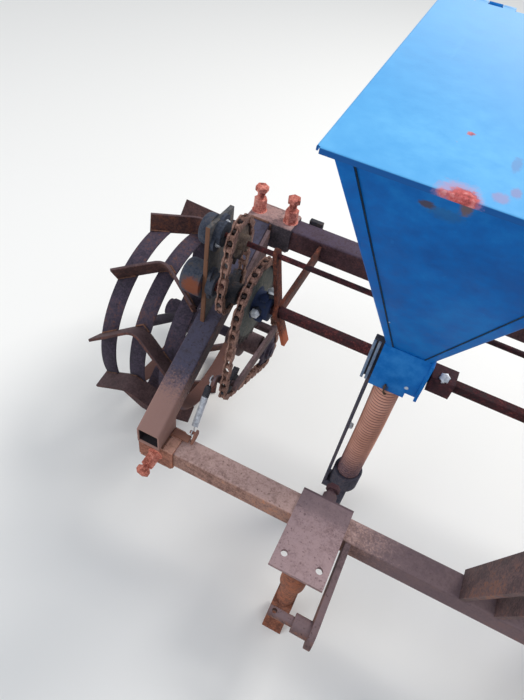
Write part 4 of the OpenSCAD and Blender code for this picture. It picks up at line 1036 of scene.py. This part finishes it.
def hopper(word, side):
    """Four tapered sheets: the side ones are folded over the front and back ones in a flange."""
    panels, flanges, seams = Shape(), Shape(), Shape()
    shares = span(0, 1, PANEL_GRID)
    for front, inward, seed in ((True, 1, 4.0), (False, -1, 9.0)):
        # The panel lies a sheet's thickness behind the flanges, and swells a little
        rows = []
        for share in shares:
            half, y, z = hopper_edge(share, front)
            row = []
            for across in span(-1, 1, PANEL_GRID):
                swell = min(2.0 * (1 - across ** 2) * sin(pi * share), 1.8)
                wave = 1.2 * noise.noise(Vector((across * 1.3, share * 2.1, seed)))
                row.append((across * (half - 1.5) - ROW_X, y + inward * (SHEET + 0.4 - swell + wave), z))
            rows.append(row)
        outer = panels.sheet(rows)
        inner_rows = [[(x, y + inward * SHEET, z) for x, y, z in row] for row in rows]
        inner = panels.sheet(inner_rows, FROM_LAST)
        rim = list(zip(border(outer), border(inner)))
        for (a, b), (d, c) in zip(rim, rim[1:] + rim[:1]):
            panels.mesh.faces.new((a, b, c, d))
    seam_section = ((-2.2, 1.4), (0.3, 1.4), (0.3, 3), (-2.2, 3))
    for way in (-1, 1):
        rings = []
        for share in shares:
            half, front_y, z = hopper_edge(share, True)
            _, back_y, back_z = hopper_edge(share, False)
            section = fold_section(half, front_y, back_y, flange_width(share))
            rings.append([(way * a - ROW_X, b, z + (back_z - z) * c) for a, b, c in section])
        flanges.loft(rings)
        # A dark strip as painted shade in the gap along each flange's edge
        for front, inward in ((True, 1), (False, -1)):
            strip = []
            for share in shares:
                half, y, z = hopper_edge(share, front)
                edge = way * (half - flange_width(share)) - ROW_X
                strip.append([(edge + way * a, y + inward * b, z) for a, b in seam_section])
            seams.loft(strip)
    seams.piece(f"hopper_{word}_seams", SEAM_SHADE, "blue_paint", side=side)
    panels.piece(f"hopper_{word}_panels", BLUE, "blue_paint", nodes=("hopper_" + word,), side=side)
    flanges.piece(f"hopper_{word}_sides", BLUE, "blue_paint", side=side)


def hopper_hinges(word, side):
    """Hinge straps with their knuckles and pins on the back of the hopper."""
    back, top = HOPPER_FRONT_Y + HOPPER_L, HOPPER_TOP_Z + HOPPER_RISE
    hinge_y = back + LID_OVER + HINGE_OUT
    strap = [(back - 21, top - 34), (hinge_y + 4, top - 34), (hinge_y + 4, top), (hinge_y - 1, top),
             (hinge_y - 1, top - 29), (back - 18, top - 29)]
    hinges = Shape()
    for x in (-ROW_X - HINGE_X, -ROW_X + HINGE_X):
        start = x - HINGE_LENGTH / 2
        hinges.prism(strap, "x", start, start + HINGE_LENGTH)
        hinges.turned(barrel(0, HINGE_LENGTH, KNUCKLE_R, 0.6), (start, hinge_y, top))
        hinges.turned(barrel(0, 3 * HINGE_LENGTH, 2.5, 0.5), (start - HINGE_LENGTH, hinge_y, top), sides=16)
    hinges.piece(f"hopper_{word}_hinges", BLUE, "blue_paint", side=side)


def lid(word, side):
    """Sheet lid with a rolled edge and rim, a little sagged, its corners notched."""
    half = HOPPER_W / 2 + LID_OVER
    front, back = HOPPER_FRONT_Y - LID_OVER, HOPPER_FRONT_Y + HOPPER_L + LID_OVER
    flat_x, flat_front, flat_back = half - LID_BEND, front + LID_BEND, back - LID_BEND
    seed = 2.0 if side == LEFT else 7.0
    shape = Shape()

    def top(x, y):
        base = HOPPER_TOP_Z + (y - HOPPER_FRONT_Y) * HOPPER_RISE / HOPPER_L + 0.3
        a, b = x / half, 2 * (y - front) / (back - front) - 1
        dent = noise.noise(Vector((a * 1.5, b * 2.0, seed)))
        return base + SHEET - 0.2 - (1 - a ** 8) * (1 - b ** 8) * (1.0 + 1.3 * dent)

    def rim(points, out_x, out_y):
        foot, inside = -LID_RIM - 2.6, LID_BEND - 2.2
        section = corner_arc((0, -LID_BEND), LID_BEND, 0, 3)[::-1]
        section += [(LID_BEND, foot), (inside, foot), (inside, -LID_BEND), (-0.2, -LID_T)]
        shape.loft([[(x - ROW_X + out_x * a, y + out_y * a, top(x, y) + b) for a, b in section]
                    for x, y in points])

    for thick, order in ((0, AS_LAID), (LID_T, FROM_FIRST)):
        shape.sheet([[(x - ROW_X, y, top(x, y) - thick) for x in span(-flat_x, flat_x, LID_GRID)]
                     for y in span(flat_front, flat_back, LID_GRID)], order)
    across = span(-flat_x + LID_NOTCH, flat_x - LID_NOTCH, 12)
    along = span(flat_front + LID_NOTCH, flat_back - LID_NOTCH, 12)
    rim([(x, flat_front) for x in across], 0, -1)
    rim([(x, flat_back) for x in across], 0, 1)
    rim([(-flat_x, y) for y in along], -1, 0)
    rim([(flat_x, y) for y in along], 1, 0)
    edges = [e for e in shape.mesh.edges if len(e.link_faces) == 1]
    bmesh.ops.holes_fill(shape.mesh, edges=edges, sides=0)
    # Knuckles beside each of the hopper's own
    hinge_y, hinge_z = back + HINGE_OUT, HOPPER_TOP_Z + HOPPER_RISE
    tab = [(back - 3, hinge_z + 0.5), (hinge_y - 3, hinge_z + 2), (hinge_y - 1, hinge_z + 5),
           (back - 3, hinge_z + 3.5)]
    half_length, bore = 11, 2.65
    knuckle = [(-half_length, bore), *barrel(-half_length, half_length, KNUCKLE_R, 0.6), (half_length, bore)]
    for x in (-HINGE_X, HINGE_X):
        for way in (-1, 1):
            centre = x + way * HINGE_LENGTH - ROW_X
            shape.hoop(knuckle, (centre, hinge_y, hinge_z), 24)
            shape.prism(tab, "x", centre - half_length, centre + half_length)
    shape.piece(f"lid_{word}_sheet", LID_BLUE, "blue_paint", nodes=("lid_" + word,), side=side, smooth=50)


def meter_fittings(word, side):
    """A dark slide housing with two worn strips on the meter's outer cheek, and a hook under its face."""
    cheek, front = -ROW_X - METER_W / 2, METER_FRONT_Y
    housing = Shape().block((cheek - SLIDE_OUT, front + 9, METER_LOW_Z + 9),
                            (cheek + 1, front + 9 + SLIDE_DEEP, HOPPER_LOW_Z - 4))
    housing.rounded(1.5).piece("slide_housing_" + word, DARK_FITTING, "blue_paint", side=side)
    strips = Shape()
    for x in (cheek - 19, cheek - 9):
        strips.block((x - STRIP_W / 2, front + 3, METER_LOW_Z + 4),
                     (x + STRIP_W / 2, front + 3 + STRIP_DEEP, HOPPER_LOW_Z - 6))
    strips.rounded(1.0).piece("slide_strips_" + word, SLIDE_PAINT, "blue_paint", side=side)
    hook = Shape().rod([(x, front - out, z) for x, out, z in HOOK], HOOK_R)
    hook.piece("meter_hook_" + word, SPRING_CLIP, side=side)


def hose(word, side):
    """Corrugated hose with round ribs, a little loose on its way down, and the bolt on its shank."""
    rings = []
    for share in span(0, 1, HOSE_N * 6):
        sway = sin(pi * share)
        rib = 0.5 + 0.5 * cos(2 * pi * HOSE_N * share)
        rings.append((-ROW_X + HOSE_X + 1.8 * sway * sin(2.6 * share), HOSE_Y - 2.0 * sway,
                      HOSE_Z + (METER_LOW_Z - HOSE_Z) * share, HOSE_D / 2 - HOSE_RIB * rib ** 1.5))
    rings += [(x, y, z, HOSE_BORE / 2) for x, y, z, _ in (rings[-1], rings[0])]
    loops = [[(x + dx, y + dy, z) for dx, dy in (polar(radius, a) for a in full_turn(48))]
             for x, y, z, radius in rings]
    ribs = Shape().loft(loops, closed_loop=True)
    node = "seed_hose_" + word
    ribs.piece(node + "_ribs", HOSE, "hose_plastic", nodes=(node,), side=side, smooth=60)
    bolt = washer_bolt((-ROW_X - METER_W / 2 - 1, HOSE_Y - 6, SHANK_BOLT_Z), 9)
    bolt.piece("shank_bolt_" + word, ZINC, "zinc", side=side)


# Nodes whose form the CAD model already has: finish, radius of the rounded edges, and slot and steps.
# A name that ends in an underscore stands for a left and a right node.
ROUNDED = {
    "side_arm_": (ARM_RUST, 3.2, "rusted_steel", 3),
    "big_sprocket": (DISC_STEEL, 0.7, "grey_steel"),
    "short_sprocket_low": (DARK_FITTING, 0.6),
    "short_sprocket_high": (SPROCKET_RUST, 0.6),
    "idler_sprocket": (DARK_FITTING, 0.6),
    "meter_shaft": (SHAFT_RUST, 1.6, "shaft_steel"),
    "stir_shaft": (SHAFT_RUST, 0.8, "shaft_steel"),
    "shaft_couplers": (COUPLER_RUST, 1.5),
    "axle_": (WHEEL_RUST, 0.8),
    "bearing_plate": (GREY_STEEL, 1.5, "grey_steel"),
    "shaft_bearings": (HOUSING, 1.5, "grey_steel", 3),
    "meter_": (METER_BLUE, 1.6, "blue_paint"),
    "seed_boot_": (BOOT_STEEL, 1.5, "grey_steel"),
    "hose_socket_": (BOOT_STEEL, 1.5, "grey_steel", 3),
    "row_plate_": (PLATE_RUST, 1.2),
    "tine_": (TINE_RUST, 1.5, "orange_rusted_steel"),
    "wheel_hanger_": (RUST, 1.5),
    "headstock": (RUST, 1.5),
    "lower_hitch_": (RUST, 1.5),
    "meter_bracket_": (RUST, 1.2),
    "chain_tensioner": (RUST, 1.0),
    "shaft_hangers": (STRAP_RUST, 1.2),
}


def rounded_nodes():
    for name, how in ROUNDED.items():
        for word in (SIDES if name.endswith("_") else [""]):
            rounded_node(name + word, *how)


# Floor and light
def stage():
    mesh = bpy.data.meshes.new("floor")
    reach = 14
    mesh.from_pydata([(-reach, -reach, 0), (reach, -reach, 0), (reach, reach, 0), (-reach, reach, 0)],
                     [], [(0, 1, 2, 3)])
    floor = linked("floor", mesh)
    floor.location.z = -0.0006
    mesh.materials.append(Finish("floor", roughness=0.95, specular=0.1).finish((0.86, 0.86, 0.85, 1)))
    world = bpy.data.worlds.new("world")
    bpy.context.scene.world = world
    world.use_nodes = True
    background = world.node_tree.nodes["Background"]
    background.inputs["Color"].default_value = (0.93, 0.96, 1.0, 1)
    background.inputs["Strength"].default_value = 0.62
    for name, at, target, size, power, tint in (
            ("key", (1.4, 2.6, 4.6), (0, 0.1, 0.5), 2.2, 190, (1, 0.97, 0.92)),
            ("fill", (-3.4, -2.6, 3.0), (0, 0, 0.5), 3.4, 60, (0.95, 0.97, 1))):
        light = linked(name, bpy.data.lights.new(name, "AREA"))
        light.data.shape = "DISK"
        light.data.size = size
        light.data.energy = power
        light.data.color = tint
        light.location = at
        light.rotation_mode = "QUATERNION"
        light.rotation_quaternion = (Vector(target) - Vector(at)).to_track_quat("-Z", "Y")
    bpy.context.scene.view_settings.view_transform = "Standard"


tool_bars()
for side_word, side_way in SIDES.items():
    for build in (sleeves, arm_seams, arm_inside, bar_stop, wheel, hopper, hopper_hinges, lid,
                  meter_fittings, hose):
        build(side_word, side_way)
roller_chain("drive_chain", [AXLE_WHEEL, BIG_WHEEL, IDLER_WHEEL], DRIVE_X)
roller_chain("short_chain", [LOW_WHEEL, HIGH_WHEEL], SHORT_X)
shaft_bolts()
bearing_bolts()
tension_spring()
rounded_nodes()
stage()
